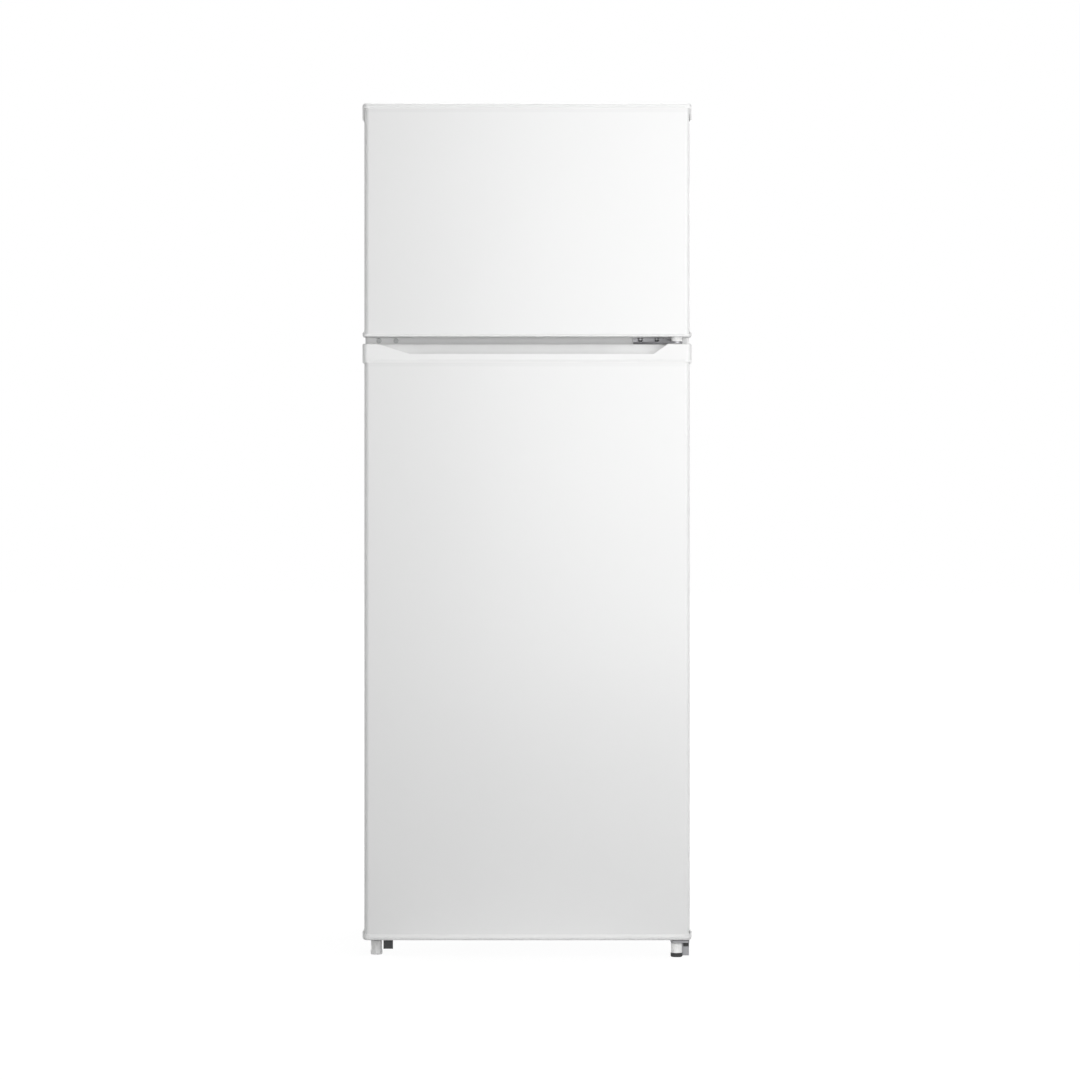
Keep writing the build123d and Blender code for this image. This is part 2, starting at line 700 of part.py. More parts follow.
# Bottom hinge, whose pin is also the stud of the right foot, and the bracket of the left foot
bracket_x = (hinge_x - 9.8, half_width - 0.5)
tab_width = 12.5
tab_hole_z = 20.5
with BuildPart() as bottom_hinge_bracket:
    with BuildSketch(Plane.XY.offset(floor_plate_z)) as plate:
        with Locations(((bracket_x[0] + bracket_x[1]) / 2, (hinge_y - boss_half + face_y + 80) / 2)):
            Rectangle(bracket_x[1] - bracket_x[0], face_y + 80 - hinge_y + boss_half)
        fillet(plate.vertices(), 5)
        with Locations((hinge_x, hinge_y)):
            Circle(pin_radius + set_fit, mode=Mode.SUBTRACT)
        with Locations(*bottom_screws):
            Circle(screw_hole, mode=Mode.SUBTRACT)
    extrude(amount=bracket_plate)
    tab_y = hinge_y + 6
    block((bracket_x[1] - tab_width, bracket_x[1]), (tab_y, tab_y + 3), (1.5, floor_plate_z))
    with BuildSketch(Plane.XZ.offset(1 - tab_y)):
        with Locations((bracket_x[1] - tab_width / 2 + 1, tab_hole_z)):
            SlotOverall(8, 6)
    extrude(amount=-5, mode=Mode.SUBTRACT)
save(bottom_hinge_bracket.part, "bottom_hinge_bracket")

left_plate_x = (left_foot_x - 13.5, left_foot_x + 28)
left_plate_y = (face_y + 1, face_y + 78)
with BuildPart() as left_foot_bracket:
    with BuildSketch(Plane.XY.offset(floor_plate_z)) as plate:
        with Locations(((left_plate_x[0] + left_plate_x[1]) / 2, (left_plate_y[0] + left_plate_y[1]) / 2)):
            Rectangle(left_plate_x[1] - left_plate_x[0], left_plate_y[1] - left_plate_y[0])
        fillet(plate.vertices().group_by(Axis.Y)[-1], 5)
        with Locations((left_foot_x, left_foot_y)):
            Circle(pin_radius + set_fit, mode=Mode.SUBTRACT)
        with Locations(*left_screws):
            Circle(screw_hole, mode=Mode.SUBTRACT)
    extrude(amount=bracket_plate)
    block((left_plate_x[1] - 16, left_plate_x[1]), (left_plate_y[0], left_plate_y[0] + 3), (10.0, floor_plate_z))
save(left_foot_bracket.part, "left_foot_bracket")

pin_reach = 15.0
stud_low_z = foot_pad_height + 2
with BuildPart() as hinge_pins:
    rod(hinge_x, hinge_y, top_plate_z - hinge_plate - pin_reach, top_plate_z + 1, pin_radius)
    rod(hinge_x, hinge_y, top_plate_z, top_plate_z + 1.5, pin_radius + 2)
    rod(hinge_x, hinge_y, middle_plate_low - pin_reach, middle_plate_high + pin_reach, pin_radius)
    rod(hinge_x, hinge_y, stud_low_z, ground_clearance + pin_reach, pin_radius)
    rod(left_foot_x, left_foot_y, stud_low_z, ground_clearance, pin_radius)
save(hinge_pins.part, "hinge_pins")


def screw(length):
    """A pan head screw pointing down, its head on the plane of the place where it is put."""
    with BuildPart() as made:
        with BuildSketch(Plane.XZ):
            with BuildLine():
                Polyline((0, -length), (screw_radius, -length), (screw_radius, 0), (screw_head[0], 0))
                RadiusArc((screw_head[0], 0), (0, screw_head[1]), -1.9 * screw_head[0])
                Line((0, screw_head[1]), (0, -length))
            make_face()
        revolve(axis=Axis.Z)
        with BuildSketch(Plane.XY.offset(screw_head[1])):
            Rectangle(4.4, 1)
            Rectangle(1, 4.4)
        extrude(amount=-1.3, mode=Mode.SUBTRACT)
    return made.part


plate_screw = screw(hinge_plate + sheet)
bracket_screw = screw(bracket_plate + sheet)
with BuildPart() as fasteners:
    with Locations(*[(x, y, top_plate_z) for x, y in top_screws]):
        add(plate_screw)
    with Locations(*[Location((x, face_y - hinge_plate, middle_screw_z), (90, 0, 0)) for x in middle_screws]):
        add(plate_screw)
    with Locations(*[Location((x, y, floor_plate_z), (180, 0, 0)) for x, y in bottom_screws + left_screws]):
        add(bracket_screw)
save(fasteners.part, "fasteners")

# Levelling feet
for side, x, y in (("left", left_foot_x, left_foot_y), ("right", hinge_x, hinge_y)):
    with BuildPart() as foot_knob:
        rod(x, y, foot_pad_height, floor_plate_z - 0.5, foot_radius)
        chamfer(foot_knob.faces().sort_by(Axis.Z)[-1].edges(), 1)
        with Locations((x, y, floor_plate_z - 7)):
            with PolarLocations(foot_radius + 0.6, 18):
                Cylinder(1.1, 9, mode=Mode.SUBTRACT)
        rod(x, y, stud_low_z - 1, floor_plate_z, pin_radius + running_fit, mode=Mode.SUBTRACT)
    save(foot_knob.part, f"{side}_foot_knob")
    with BuildPart() as foot_pad:
        rod(x, y, 0, foot_pad_height, foot_radius + 0.8)
        chamfer(foot_pad.faces().sort_by(Axis.Z)[0].edges(), 1.5)
    save(foot_pad.part, f"{side}_foot_pad")

# Compressor bay: base plate with roller ears, rollers and everything that stands on it
base_z = 34.0
base_sheet = 2.0
base_top = base_z + base_sheet
base_front, base_back = bay_y + 15, rear_y - 4
ear_gap = 1.0
ear_x = [roller_x - roller_width / 2 - ear_gap - base_sheet, roller_x + roller_width / 2 + ear_gap]
cord_x, cord_z, cord_hole = -190.0, base_top + 17, 7.0

with BuildPart() as compressor_base:
    block((-half_width + sheet, half_width - sheet), (base_front, base_back), (base_z, base_top))
    for side in (-1, 1):
        inner, outer = side * (half_width - sheet - base_sheet), side * (half_width - sheet)
        block((min(inner, outer), max(inner, outer)), (base_front, base_back), (base_z, base_top + 22))
        for x in ear_x:
            low, high = sorted((side * x, side * (x + base_sheet)))
            block((low, high), (roller_y - 12, roller_y + 12), (roller_radius - 8, base_top))
    block((cord_x - 25, cord_x + 25), (base_back - base_sheet, base_back), (base_z, base_top + 32))
    for y in (base_front, base_back - base_sheet):
        block((-ear_x[0] + 4, ear_x[0] - 4), (y, y + base_sheet), (base_z - 8, base_top))
    with Locations((0, roller_y, roller_radius)):
        Cylinder(axle_radius + running_fit, body_width, rotation=(0, 90, 0), mode=Mode.SUBTRACT)
    with Locations((cord_x, base_back, cord_z)):
        Cylinder(cord_hole, 6 * base_sheet, rotation=(90, 0, 0), mode=Mode.SUBTRACT)
save(compressor_base.part, "compressor_base")

for side, name in ((-1, "left_roller"), (1, "right_roller")):
    with BuildPart() as roller:
        with Locations((side * roller_x, roller_y, roller_radius)):
            Cylinder(roller_radius, roller_width, rotation=(0, 90, 0))
            fillet(roller.edges(), 2.5)
            Cylinder(
                axle_radius, roller_width + 2 * (ear_gap + base_sheet), rotation=(0, 90, 0)
            )
    save(roller.part, name)

with BuildPart() as cord_grommet:
    with BuildSketch(Plane.YZ.offset(cord_x)):
        with BuildLine():
            middle = base_back - base_sheet / 2
            Polyline(
                (middle - 3.5, cord_z + 4),
                (middle + 3.5, cord_z + 4),
                (middle + 3.5, cord_z + 10),
                (base_back, cord_z + 10),
                (base_back, cord_z + cord_hole),
                (base_back - base_sheet, cord_z + cord_hole),
                (base_back - base_sheet, cord_z + 10),
                (middle - 3.5, cord_z + 10),
                close=True,
            )
        make_face()
    revolve(axis=Axis((cord_x, 0, cord_z), (0, 1, 0)))
save(cord_grommet.part, "cord_grommet")

grommet_height = 14.0
foot_plate = 3.0
shell_size = (160.0, 126.0)
shell_low = base_top + grommet_height + foot_plate
shell_height = 117.0
mount_span = (150.0, 92.0)

with BuildPart() as compressor_grommets:
    with Locations((compressor_x, compressor_y, base_top + grommet_height / 2)):
        with GridLocations(*mount_span, 2, 2):
            Cylinder(9, grommet_height)
            Cylinder(11, 4)
save(compressor_grommets.part, "compressor_grommets")

with BuildPart() as compressor:
    with BuildSketch(Plane.XY.offset(shell_low)):
        with Locations((compressor_x, compressor_y)):
            RectangleRounded(*shell_size, 58)
    extrude(amount=shell_height)
    fillet(compressor.faces().sort_by(Axis.Z)[-1].edges(), 38)
    fillet(compressor.faces().sort_by(Axis.Z)[0].edges(), 12)
    with BuildSketch(Plane.XY.offset(shell_low + 0.55 * shell_height)):
        with Locations((compressor_x, compressor_y)):
            RectangleRounded(shell_size[0] + 8, shell_size[1] + 8, 62)
    extrude(amount=6)
    with BuildSketch(Plane.XY.offset(shell_low - foot_plate)):
        with Locations((compressor_x, compressor_y)):
            RectangleRounded(mount_span[0] + 26, mount_span[1] + 26, 12)
    extrude(amount=foot_plate)
save(compressor.part, "compressor")

pan_z = shell_low + shell_height
pan_size = (210.0, 116.0, 26.0)
with BuildPart() as drain_pan:
    with BuildSketch(Plane.XY.offset(pan_z)):
        with Locations((compressor_x, compressor_y)):
            RectangleRounded(pan_size[0], pan_size[1], 14)
    extrude(amount=pan_size[2])
    fillet(drain_pan.faces().sort_by(Axis.Z)[0].edges(), 5)
    offset(amount=-2, openings=drain_pan.faces().sort_by(Axis.Z)[-1])
save(drain_pan.part, "drain_pan")

with BuildPart() as drain_spout:
    rod(compressor_x, compressor_y, pan_z + 12, step_z - liner_wall, spout_radius)
    rod(compressor_x, compressor_y, pan_z + 11, step_z, spout_bore, mode=Mode.SUBTRACT)
save(drain_spout.part, "drain_spout")

with BuildPart() as terminal_cover:
    side_x = compressor_x + shell_size[0] / 2
    block(
        (side_x - 14, side_x + 34),
        (compressor_y - 32, compressor_y + 32),
        (shell_low + 22, shell_low + 22 + 66),
    )
    fillet(terminal_cover.edges().filter_by(Axis.Z), 6)
    fillet(terminal_cover.faces().sort_by(Axis.Z)[-1].edges(), 3)
    add(compressor.part, mode=Mode.SUBTRACT)
save(terminal_cover.part, "terminal_cover")

pipe_radius = 3.0
drier_radius = 9.0
drier_x, drier_y = -120.0, bay_y + 60
drier_low, drier_high = base_top + 50, base_top + 140
pipe_turn = 14.0
shell_x = compressor_x - shell_size[0] / 2 + 4
pipes = [
    [
        (shell_x, compressor_y, shell_low + 36),
        (shell_x - 60, compressor_y, shell_low + 36),
        (shell_x - 60, compressor_y, bay_top_z),
    ],
    [
        (shell_x + 6, compressor_y + 24, shell_low + 22),
        (shell_x - 150, compressor_y + 24, shell_low + 22),
        (shell_x - 150, compressor_y + 24, bay_top_z),
    ],
    [
        (drier_x, drier_y, drier_low + 4),
        (drier_x, drier_y, base_top + 16),
        (drier_x - 50, drier_y, base_top + 16),
        (drier_x - 50, drier_y, bay_top_z),
    ],
]
with BuildPart() as refrigerant_pipes:
    for points in pipes:
        with BuildLine() as run:
            FilletPolyline(*points, radius=pipe_turn)
        with BuildSketch(Plane(run.line @ 0, z_dir=run.line % 0)):
            Circle(pipe_radius)
        sweep(path=run.line)
    with BuildSketch(Plane.XZ.offset(-drier_y)) as drier:
        with BuildLine():
            Polyline(
                (drier_x, drier_low - 8),
                (drier_x + pipe_radius + 1, drier_low - 8),
                (drier_x + drier_radius, drier_low + 4),
                (drier_x + drier_radius, drier_high - 4),
                (drier_x + pipe_radius, drier_high + 8),
                (drier_x + pipe_radius, bay_top_z),
                (drier_x, bay_top_z),
                close=True,
            )
        make_face()
    revolve(axis=Axis((drier_x, drier_y, 0), (0, 0, 1)))
    add(compressor.part, mode=Mode.SUBTRACT)
save(refrigerant_pipes.part, "refrigerant_pipes")


# Doors. Each has its lower and upper end, the thickness of its end caps, and its liner's rim
class Door:
    def __init__(self, low, high, low_cap, high_cap, wings, rim_half, rim_low, rim_high, gasket_low, gasket_high):
        self.low, self.high = low, high
        self.skin_low, self.skin_high = low + low_cap, high - high_cap
        self.low_wing, self.high_wing = wings
        self.rim_half, self.rim_low, self.rim_high = rim_half, rim_low, rim_high
        self.gasket_low, self.gasket_high = gasket_low, gasket_high


freezer = Door(
    low=freezer_door_z,
    high=freezer_door_top_z,
    low_cap=5.0,
    high_cap=8.5,
    wings=(8.5, 29.0),
    rim_half=freezer_half - rim_gap,
    rim_low=freezer_floor_z + rim_gap,
    rim_high=freezer_ceiling_z - rim_gap,
    gasket_low=gap_z + 11.5,
    gasket_high=cabinet_top_z - 12,
)
fridge = Door(
    low=fridge_door_z,
    high=fridge_door_top_z,
    low_cap=10.5,
    high_cap=31.5,
    wings=(16.5, 33.5),
    rim_half=fridge_half - rim_gap,
    rim_low=fridge_floor_z + rim_gap,
    rim_high=fridge_ceiling_z - rim_gap,
    gasket_low=base_flange_z - 5 - gasket_width,
    gasket_high=gap_z - 11.5,
)
inner_x = half_width - sheet
inner_y = (skin_y + sheet, door_back_y - liner_wall)
pocket_z = cabinet_top_z - 2


def hinge_pocket():
    """Cuts the corner that lets the fixed top hinge plate into the freezer door while the door swings."""
    block(
        (hinge_x - 36, half_width + 2 * cap_overhang),
        (front_y + 6.5, face_y),
        (pocket_z, freezer_door_top_z + 1),
        mode=Mode.SUBTRACT,
    )


def door_skin(door):
    """Folded outer sheet: front, rounded front edges, sides and narrow returns at the back."""
    with BuildPart() as skin:
        with BuildSketch(Plane.XY.offset(door.skin_low)):
            with BuildLine():
                FilletPolyline(
                    (-half_width + skin_return, door_back_y),
                    (-half_width, door_back_y),
                    (-half_width, skin_y),
                    (half_width, skin_y),
                    (half_width, door_back_y),
                    (half_width - skin_return, door_back_y),
                    radius=[bend, skin_round, skin_round, bend],
                )
                offset(amount=sheet, side=Side.LEFT)
            make_face()
        extrude(amount=door.skin_high - door.skin_low)
        if door is freezer:
            hinge_pocket()
    return skin.part


def core_face(margin):
    """Outline of the space inside a door's skin, seen from above, as a sketch for extruding."""
    with BuildSketch() as outline:
        with Locations((0, (inner_y[0] + inner_y[1]) / 2)):
            Rectangle(2 * (inner_x - margin), inner_y[1] - inner_y[0] - 2 * margin)
        fillet(outline.vertices().group_by(Axis.Y)[0], skin_round - sheet - margin)
        fillet(outline.vertices().group_by(Axis.Y)[-1], bend - sheet)
    return outline.sketch


def cap_face():
    with BuildSketch() as outline:
        with Locations((0, (front_y + door_back_y) / 2)):
            Rectangle(2 * (half_width + cap_overhang), door_thickness)
        fillet(outline.vertices().group_by(Axis.Y)[0], cap_round)
        fillet(outline.vertices().group_by(Axis.Y)[-1], cap_back_round)
    return outline.sketch


def cap_blank(outer_z, inner_z, wing, edge_round):
    """End cap: a slab over the door's end, wings down its sides and a spigot frame inside the skin."""
    inward = 1 if inner_z > outer_z else -1
    with BuildPart() as cap:
        with BuildSketch(Plane.XY.offset(outer_z)):
            add(cap_face())
        extrude(amount=inner_z - outer_z)
        end = cap.faces().sort_by(Axis.Z)[0 if inward > 0 else -1]
        fillet(end.edges(), edge_round)
        with BuildSketch(Plane.XY.offset(inner_z)):
            add(cap_face())
            with Locations((0, front_y)):
                Rectangle(body_width, 4 * door_thickness, mode=Mode.SUBTRACT)
        extrude(amount=outer_z + inward * wing - inner_z)
        bevel = min(seam_bevel, abs(inner_z - outer_z) - edge_round - 0.5)
        with BuildSketch(Plane.YZ):
            with BuildLine():
                Polyline(
                    (front_y - 1, inner_z),
                    (skin_y, inner_z),
                    (front_y, inner_z - inward * bevel),
                    (front_y - 1, inner_z - inward * bevel),
                    close=True,
                )
            make_face()
        extrude(amount=half_width - skin_round, both=True, mode=Mode.SUBTRACT)
        tip = outer_z + inward * wing
        for side in (-1, 1):
            with BuildSketch(Plane.XZ.offset(-door_back_y - 1)):
                with BuildLine():
                    Polyline(
                        (side * (half_width + wing_tip), tip),
                        (side * (half_width + wing_tip + 2 * cap_overhang), tip),
                        (side * (half_width + wing_tip + 2 * cap_overhang), tip - 2 * inward * cap_overhang),
                        close=True,
                    )
                make_face()
            extrude(amount=door_thickness + 2, mode=Mode.SUBTRACT)
        with BuildSketch(Plane.XY.offset(inner_z)):
            add(core_face(0))
            add(core_face(spigot_wall), mode=Mode.SUBTRACT)
        extrude(amount=inward * spigot_length)
    return cap.part


def boss_face(left):
    """Corner of the space inside a door's skin, from left to the hinge side, for a block that holds a bush."""
    with BuildSketch() as outline:
        add(core_face(0))
        with Locations(((left + half_width) / 2, hinge_y)):
            Rectangle(half_width - left, 2 * door_thickness, mode=Mode.INTERSECT)
    return outline.sketch


# Freezer door
save(door_skin(freezer), "freezer_door_skin")

bush_depth = pin_reach + 2.5
with BuildPart() as freezer_door_top_cap:
    add(cap_blank(freezer.high, freezer.skin_high, freezer.high_wing, 5))
    with BuildSketch(Plane.XY.offset(pocket_z - bush_depth - 3)):
        add(boss_face(hinge_x - 39))
    extrude(amount=freezer.skin_high - pocket_z + bush_depth + 3)
    hinge_pocket()
    rod(hinge_x, hinge_y, pocket_z - bush_depth, pocket_z + 1, bush_radius, mode=Mode.SUBTRACT)
save(freezer_door_top_cap.part, "freezer_door_top_cap")

grip_half = half_width - 82.5
with BuildPart() as freezer_door_bottom_cap:
    add(cap_blank(freezer.low, freezer.skin_low, freezer.low_wing, 2.5))
    with BuildSketch(Plane.XY.offset(freezer.skin_low)):
        add(boss_face(hinge_x - boss_half))
    extrude(amount=freezer.low + bush_depth - freezer.skin_low)
    rod(hinge_x, hinge_y, freezer.low - 1, freezer.low + bush_depth - 3, bush_radius, mode=Mode.SUBTRACT)
    with BuildSketch(Plane.XY.offset(freezer.low)):
        with Locations((0, front_y + 17)):
            SlotOverall(2 * grip_half, 18)
    extrude(amount=3, mode=Mode.SUBTRACT)
save(freezer_door_bottom_cap.part, "freezer_door_bottom_cap")

with BuildPart() as freezer_door_bushes:
    plate_clear = middle_plate_high + air
    rod(hinge_x, hinge_y, pocket_z - bush_depth, pocket_z + 1, bush_radius)
    rod(hinge_x, hinge_y, pocket_z, pocket_z + 1.5, bush_flange_radius)
    rod(hinge_x, hinge_y, pocket_z - pin_reach - 1, pocket_z + 2, pin_radius + running_fit, mode=Mode.SUBTRACT)
    rod(hinge_x, hinge_y, plate_clear, freezer.low + bush_depth - 3, bush_radius)
    rod(hinge_x, hinge_y, plate_clear, freezer.low, bush_flange_radius)
    rod(hinge_x, hinge_y, plate_clear - 1, middle_plate_high + pin_reach + 1, pin_radius + running_fit, mode=Mode.SUBTRACT)
save(freezer_door_bushes.part, "freezer_door_bushes")

# Fridge door
save(door_skin(fridge), "fridge_door_skin")

scoop_depth = 17.0
scoop_ends = (20.5 - half_width, hinge_x - 14.8)  # where the scoop runs out at the top of the cap
scoop_runs = (56.0, 24.0)  # how far each end takes to drop by the scoop's depth
lip_depth = 6.0
pocket_floor = 26.0
pocket_back = 30.0


def scoop_face(depth):
    """The handle scoop seen from the front, down to a depth, with both ends rising along their slopes."""
    left = scoop_ends[0] + scoop_runs[0] * depth / scoop_depth
    right = scoop_ends[1] - scoop_runs[1] * depth / scoop_depth
    with BuildSketch() as outline:
        with BuildLine():
            Polyline(
                (scoop_ends[0], fridge.high + 1),
                (scoop_ends[0], fridge.high),
                (left, fridge.high - depth),
                (right, fridge.high - depth),
                (scoop_ends[1], fridge.high),
                (scoop_ends[1], fridge.high + 1),
                close=True,
            )
        make_face()
    return outline.sketch


with BuildPart() as handle_pocket:
    with BuildSketch(Plane.YZ):
        with BuildLine():
            Polyline(
                (front_y + lip_depth - 0.5, fridge.high + 1),
                (front_y + lip_depth - 0.5, fridge.high - scoop_depth),
                (front_y + lip_depth + 3, fridge.high - pocket_floor),
                (front_y + lip_depth + 13, fridge.high - pocket_floor),
                (front_y + pocket_back, fridge.high + 1),
                close=True,
            )
        make_face()
    extrude(amount=half_width, both=True)
    with BuildSketch(Plane.XZ.offset(-front_y)):
        add(scoop_face(pocket_floor))
    extrude(amount=-door_thickness, mode=Mode.INTERSECT)

with BuildPart() as fridge_door_top_cap:
    add(cap_blank(fridge.high, fridge.skin_high, fridge.high_wing, 2.5))
    with BuildSketch(Plane.XZ.offset(-front_y - lip_depth)):
        add(scoop_face(scoop_depth))
    extrude(amount=2 * lip_depth, mode=Mode.SUBTRACT)
    add(handle_pocket.part, mode=Mode.SUBTRACT)
    block(
        (-grip_half, grip_half),
        (front_y + pocket_back + 3, inner_y[1] - 3),
        (fridge.skin_high - 1, fridge.high - 4),
        mode=Mode.SUBTRACT,
    )
    rod(hinge_x, hinge_y, fridge.high - bush_depth, fridge.high + 1, bush_radius, mode=Mode.SUBTRACT)
    rod(hinge_x, hinge_y, fridge.high - 1.5, fridge.high + 1, bush_flange_radius, mode=Mode.SUBTRACT)
save(fridge_door_top_cap.part, "fridge_door_top_cap")

with BuildPart() as fridge_door_bottom_cap:
    add(cap_blank(fridge.low, fridge.skin_low, fridge.low_wing, 6))
    with BuildSketch(Plane.XY.offset(fridge.skin_low)):
        add(boss_face(hinge_x - boss_half))
    extrude(amount=fridge.low + bush_depth + 1 - fridge.skin_low)
    rod(hinge_x, hinge_y, fridge.low - 1, fridge.low + bush_depth - 2, bush_radius, mode=Mode.SUBTRACT)
save(fridge_door_bottom_cap.part, "fridge_door_bottom_cap")

with BuildPart() as fridge_door_bushes:
    rod(hinge_x, hinge_y, fridge.high - bush_depth, fridge.high, bush_radius)
    rod(hinge_x, hinge_y, fridge.high - 1.5, fridge.high, bush_flange_radius)
    rod(hinge_x, hinge_y, middle_plate_low - pin_reach - 1, fridge.high + 1, pin_radius + running_fit, mode=Mode.SUBTRACT)
    rod(hinge_x, hinge_y, ground_clearance + air, fridge.low + bush_depth - 2, bush_radius)
    rod(hinge_x, hinge_y, ground_clearance + air, fridge.low, bush_flange_radius)
    rod(hinge_x, hinge_y, ground_clearance, ground_clearance + pin_reach + 1, pin_radius + running_fit, mode=Mode.SUBTRACT)
save(fridge_door_bushes.part, "fridge_door_bushes")


def liner_form(door, grow, half):
    """The inner side of a door down to a plane inside it, every surface set back by grow: plate, rim and recess."""
    deep = recess_y - 6
    rim_mid = (door.rim_low + door.rim_high) / 2
    rim_size = (2 * door.rim_half, door.rim_high - door.rim_low)
    with BuildPart() as form:
        block((-half, half), (deep, door_back_y - grow), (door.skin_low, door.skin_high))
        with BuildSketch(Plane.XZ.offset(-door_back_y + 2)):
            with Locations((0, rim_mid)):
                RectangleRounded(rim_size[0] - 2 * grow, rim_size[1] - 2 * grow, 20 - grow)
        extrude(amount=-(rim_y - grow - door_back_y + 2))
        with BuildSketch(Plane.XZ.offset(-recess_y + grow)):
            with Locations((0, rim_mid)):
                RectangleRounded(
                    rim_size[0] - 2 * rim_width + 2 * grow, rim_size[1] - 2 * rim_width + 2 * grow, 12 + grow
                )
        extrude(amount=-(rim_y - recess_y + 10), mode=Mode.SUBTRACT)
        fillet(form.faces().sort_by(Axis.Y)[-1].edges(), rim_round - grow)
    return form.part


def door_liner(door, bins):
    with BuildPart() as liner:
        add(liner_form(door, 0, half_width - skin_return))
        add(liner_form(door, liner_wall, half_width - skin_return), mode=Mode.SUBTRACT)
        inner = door.rim_half - rim_width
        for low, height in bins:
            for side in (-1, 1):
                ends = sorted((side * (inner - lug_size[0]), side * (inner + 1)))
                block(ends, (recess_y + 2, recess_y + 2 + lug_size[1]), (low - lug_size[2], low))
        if door is freezer:
            hinge_pocket()
    return liner.part


def door_foam(door, caps):
    with BuildPart() as foam:
        with BuildSketch(Plane.XY.offset(door.skin_low)):
            add(core_face(0))
        extrude(amount=door.skin_high - door.skin_low)
        add(liner_form(door, liner_wall, half_width - skin_return))
        with BuildSketch(Plane.XZ.offset(-recess_y + liner_wall)):
            with Locations((0, (door.rim_low + door.rim_high) / 2)):
                RectangleRounded(
                    2 * (door.rim_half - rim_width + liner_wall),
                    door.rim_high - door.rim_low - 2 * (rim_width - liner_wall),
                    12 + liner_wall,
                )
        extrude(amount=-(rim_y - recess_y), mode=Mode.SUBTRACT)
        for cap in caps:
            add(cap, mode=Mode.SUBTRACT)
        for low, high in ((door.low, door.low + 2 * bush_depth), (door.high - 2 * bush_depth, door.high)):
            rod(hinge_x, hinge_y, low, high, bush_radius, mode=Mode.SUBTRACT)
        if door is freezer:
            hinge_pocket()
    return foam.part


def door_gasket(door):
    """Magnetic seal: a base on the door, a narrow bellows and the magnet strip that meets the cabinet."""
    size = (2 * gasket_x, door.gasket_high - door.gasket_low)
    middle = (door.gasket_low + door.gasket_high) / 2
    layers = [(0, 3.2, 0, 0), (2.5, 7.2, 3, 4), (6.4, seal_gap - air, 1, 1)]
    with BuildPart() as gasket:
        for start, end, outer, inner in layers:
            with BuildSketch(Plane.XZ.offset(-door_back_y - start)):
                with Locations((0, middle)):
                    RectangleRounded(size[0] - 2 * outer, size[1] - 2 * outer, 8)
                    bore = gasket_width - inner
                    RectangleRounded(size[0] - 2 * bore, size[1] - 2 * bore, 4, mode=Mode.SUBTRACT)
            extrude(amount=start - end)
    return gasket.part


def door_bin(door, low, height):
    """Open bin that stands on the lugs of a door's liner, between the sides of its rim."""
    half = door.rim_half - rim_width - 1.5
    front, back = recess_y + 1, bin_back_y
    with BuildPart() as tray:
        with BuildSketch(Plane.XY.offset(low)):
            with Locations((0, (front + back) / 2)):
                RectangleRounded(2 * half, back - front, 14)
        extrude(amount=height)
        fillet(tray.faces().sort_by(Axis.Z)[0].edges(), 5)
        offset(amount=-bin_wall, openings=tray.faces().sort_by(Axis.Z)[-1])
        with BuildSketch(Plane.XY.offset(low + height - 7)):
            with Locations((0, (front + back) / 2)):
                RectangleRounded(2 * half, back - front, 14)
                RectangleRounded(2 * half - 7, back - front - 7, 10.5, mode=Mode.SUBTRACT)
        extrude(amount=7)
    return tray.part


freezer_bins = [(freezer.rim_low + 48, 66.0), (freezer.rim_low + 156, 56.0)]
fridge_bins = [(fridge.rim_low + 48, 112.0), (fridge.rim_low + 392, 80.0), (fridge.rim_low + 672, 80.0)]
freezer_caps = [freezer_door_top_cap.part, freezer_door_bottom_cap.part, freezer_door_bushes.part]
fridge_caps = [fridge_door_top_cap.part, fridge_door_bottom_cap.part, fridge_door_bushes.part]
for door, name, bins, caps in (
    (freezer, "freezer_door", freezer_bins, freezer_caps),
    (fridge, "fridge_door", fridge_bins, fridge_caps),
):
    save(door_liner(door, bins), f"{name}_liner")
    save(door_foam(door, caps), f"{name}_foam")
    save(door_gasket(door), f"{name}_gasket")
    for number, (low, height) in enumerate(bins, start=1):
        save(door_bin(door, low, height), f"{name}_bin_{number}")
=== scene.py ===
# %% [markdown]
# # A white refrigerator with its freezer on top
#
# The solids come ready made from the CAD model, and so does their motion. This lesson dresses them. It
# sets up a camera and a small studio, mixes a finish for each material, and models the few details that
# are too fine for the solids. Everything is in metres, X to the right, Y to the back and Z up, with the
# floor at zero.

# %% Load the solids
import json
import math

import bmesh
import bpy
from mathutils import Matrix, Vector


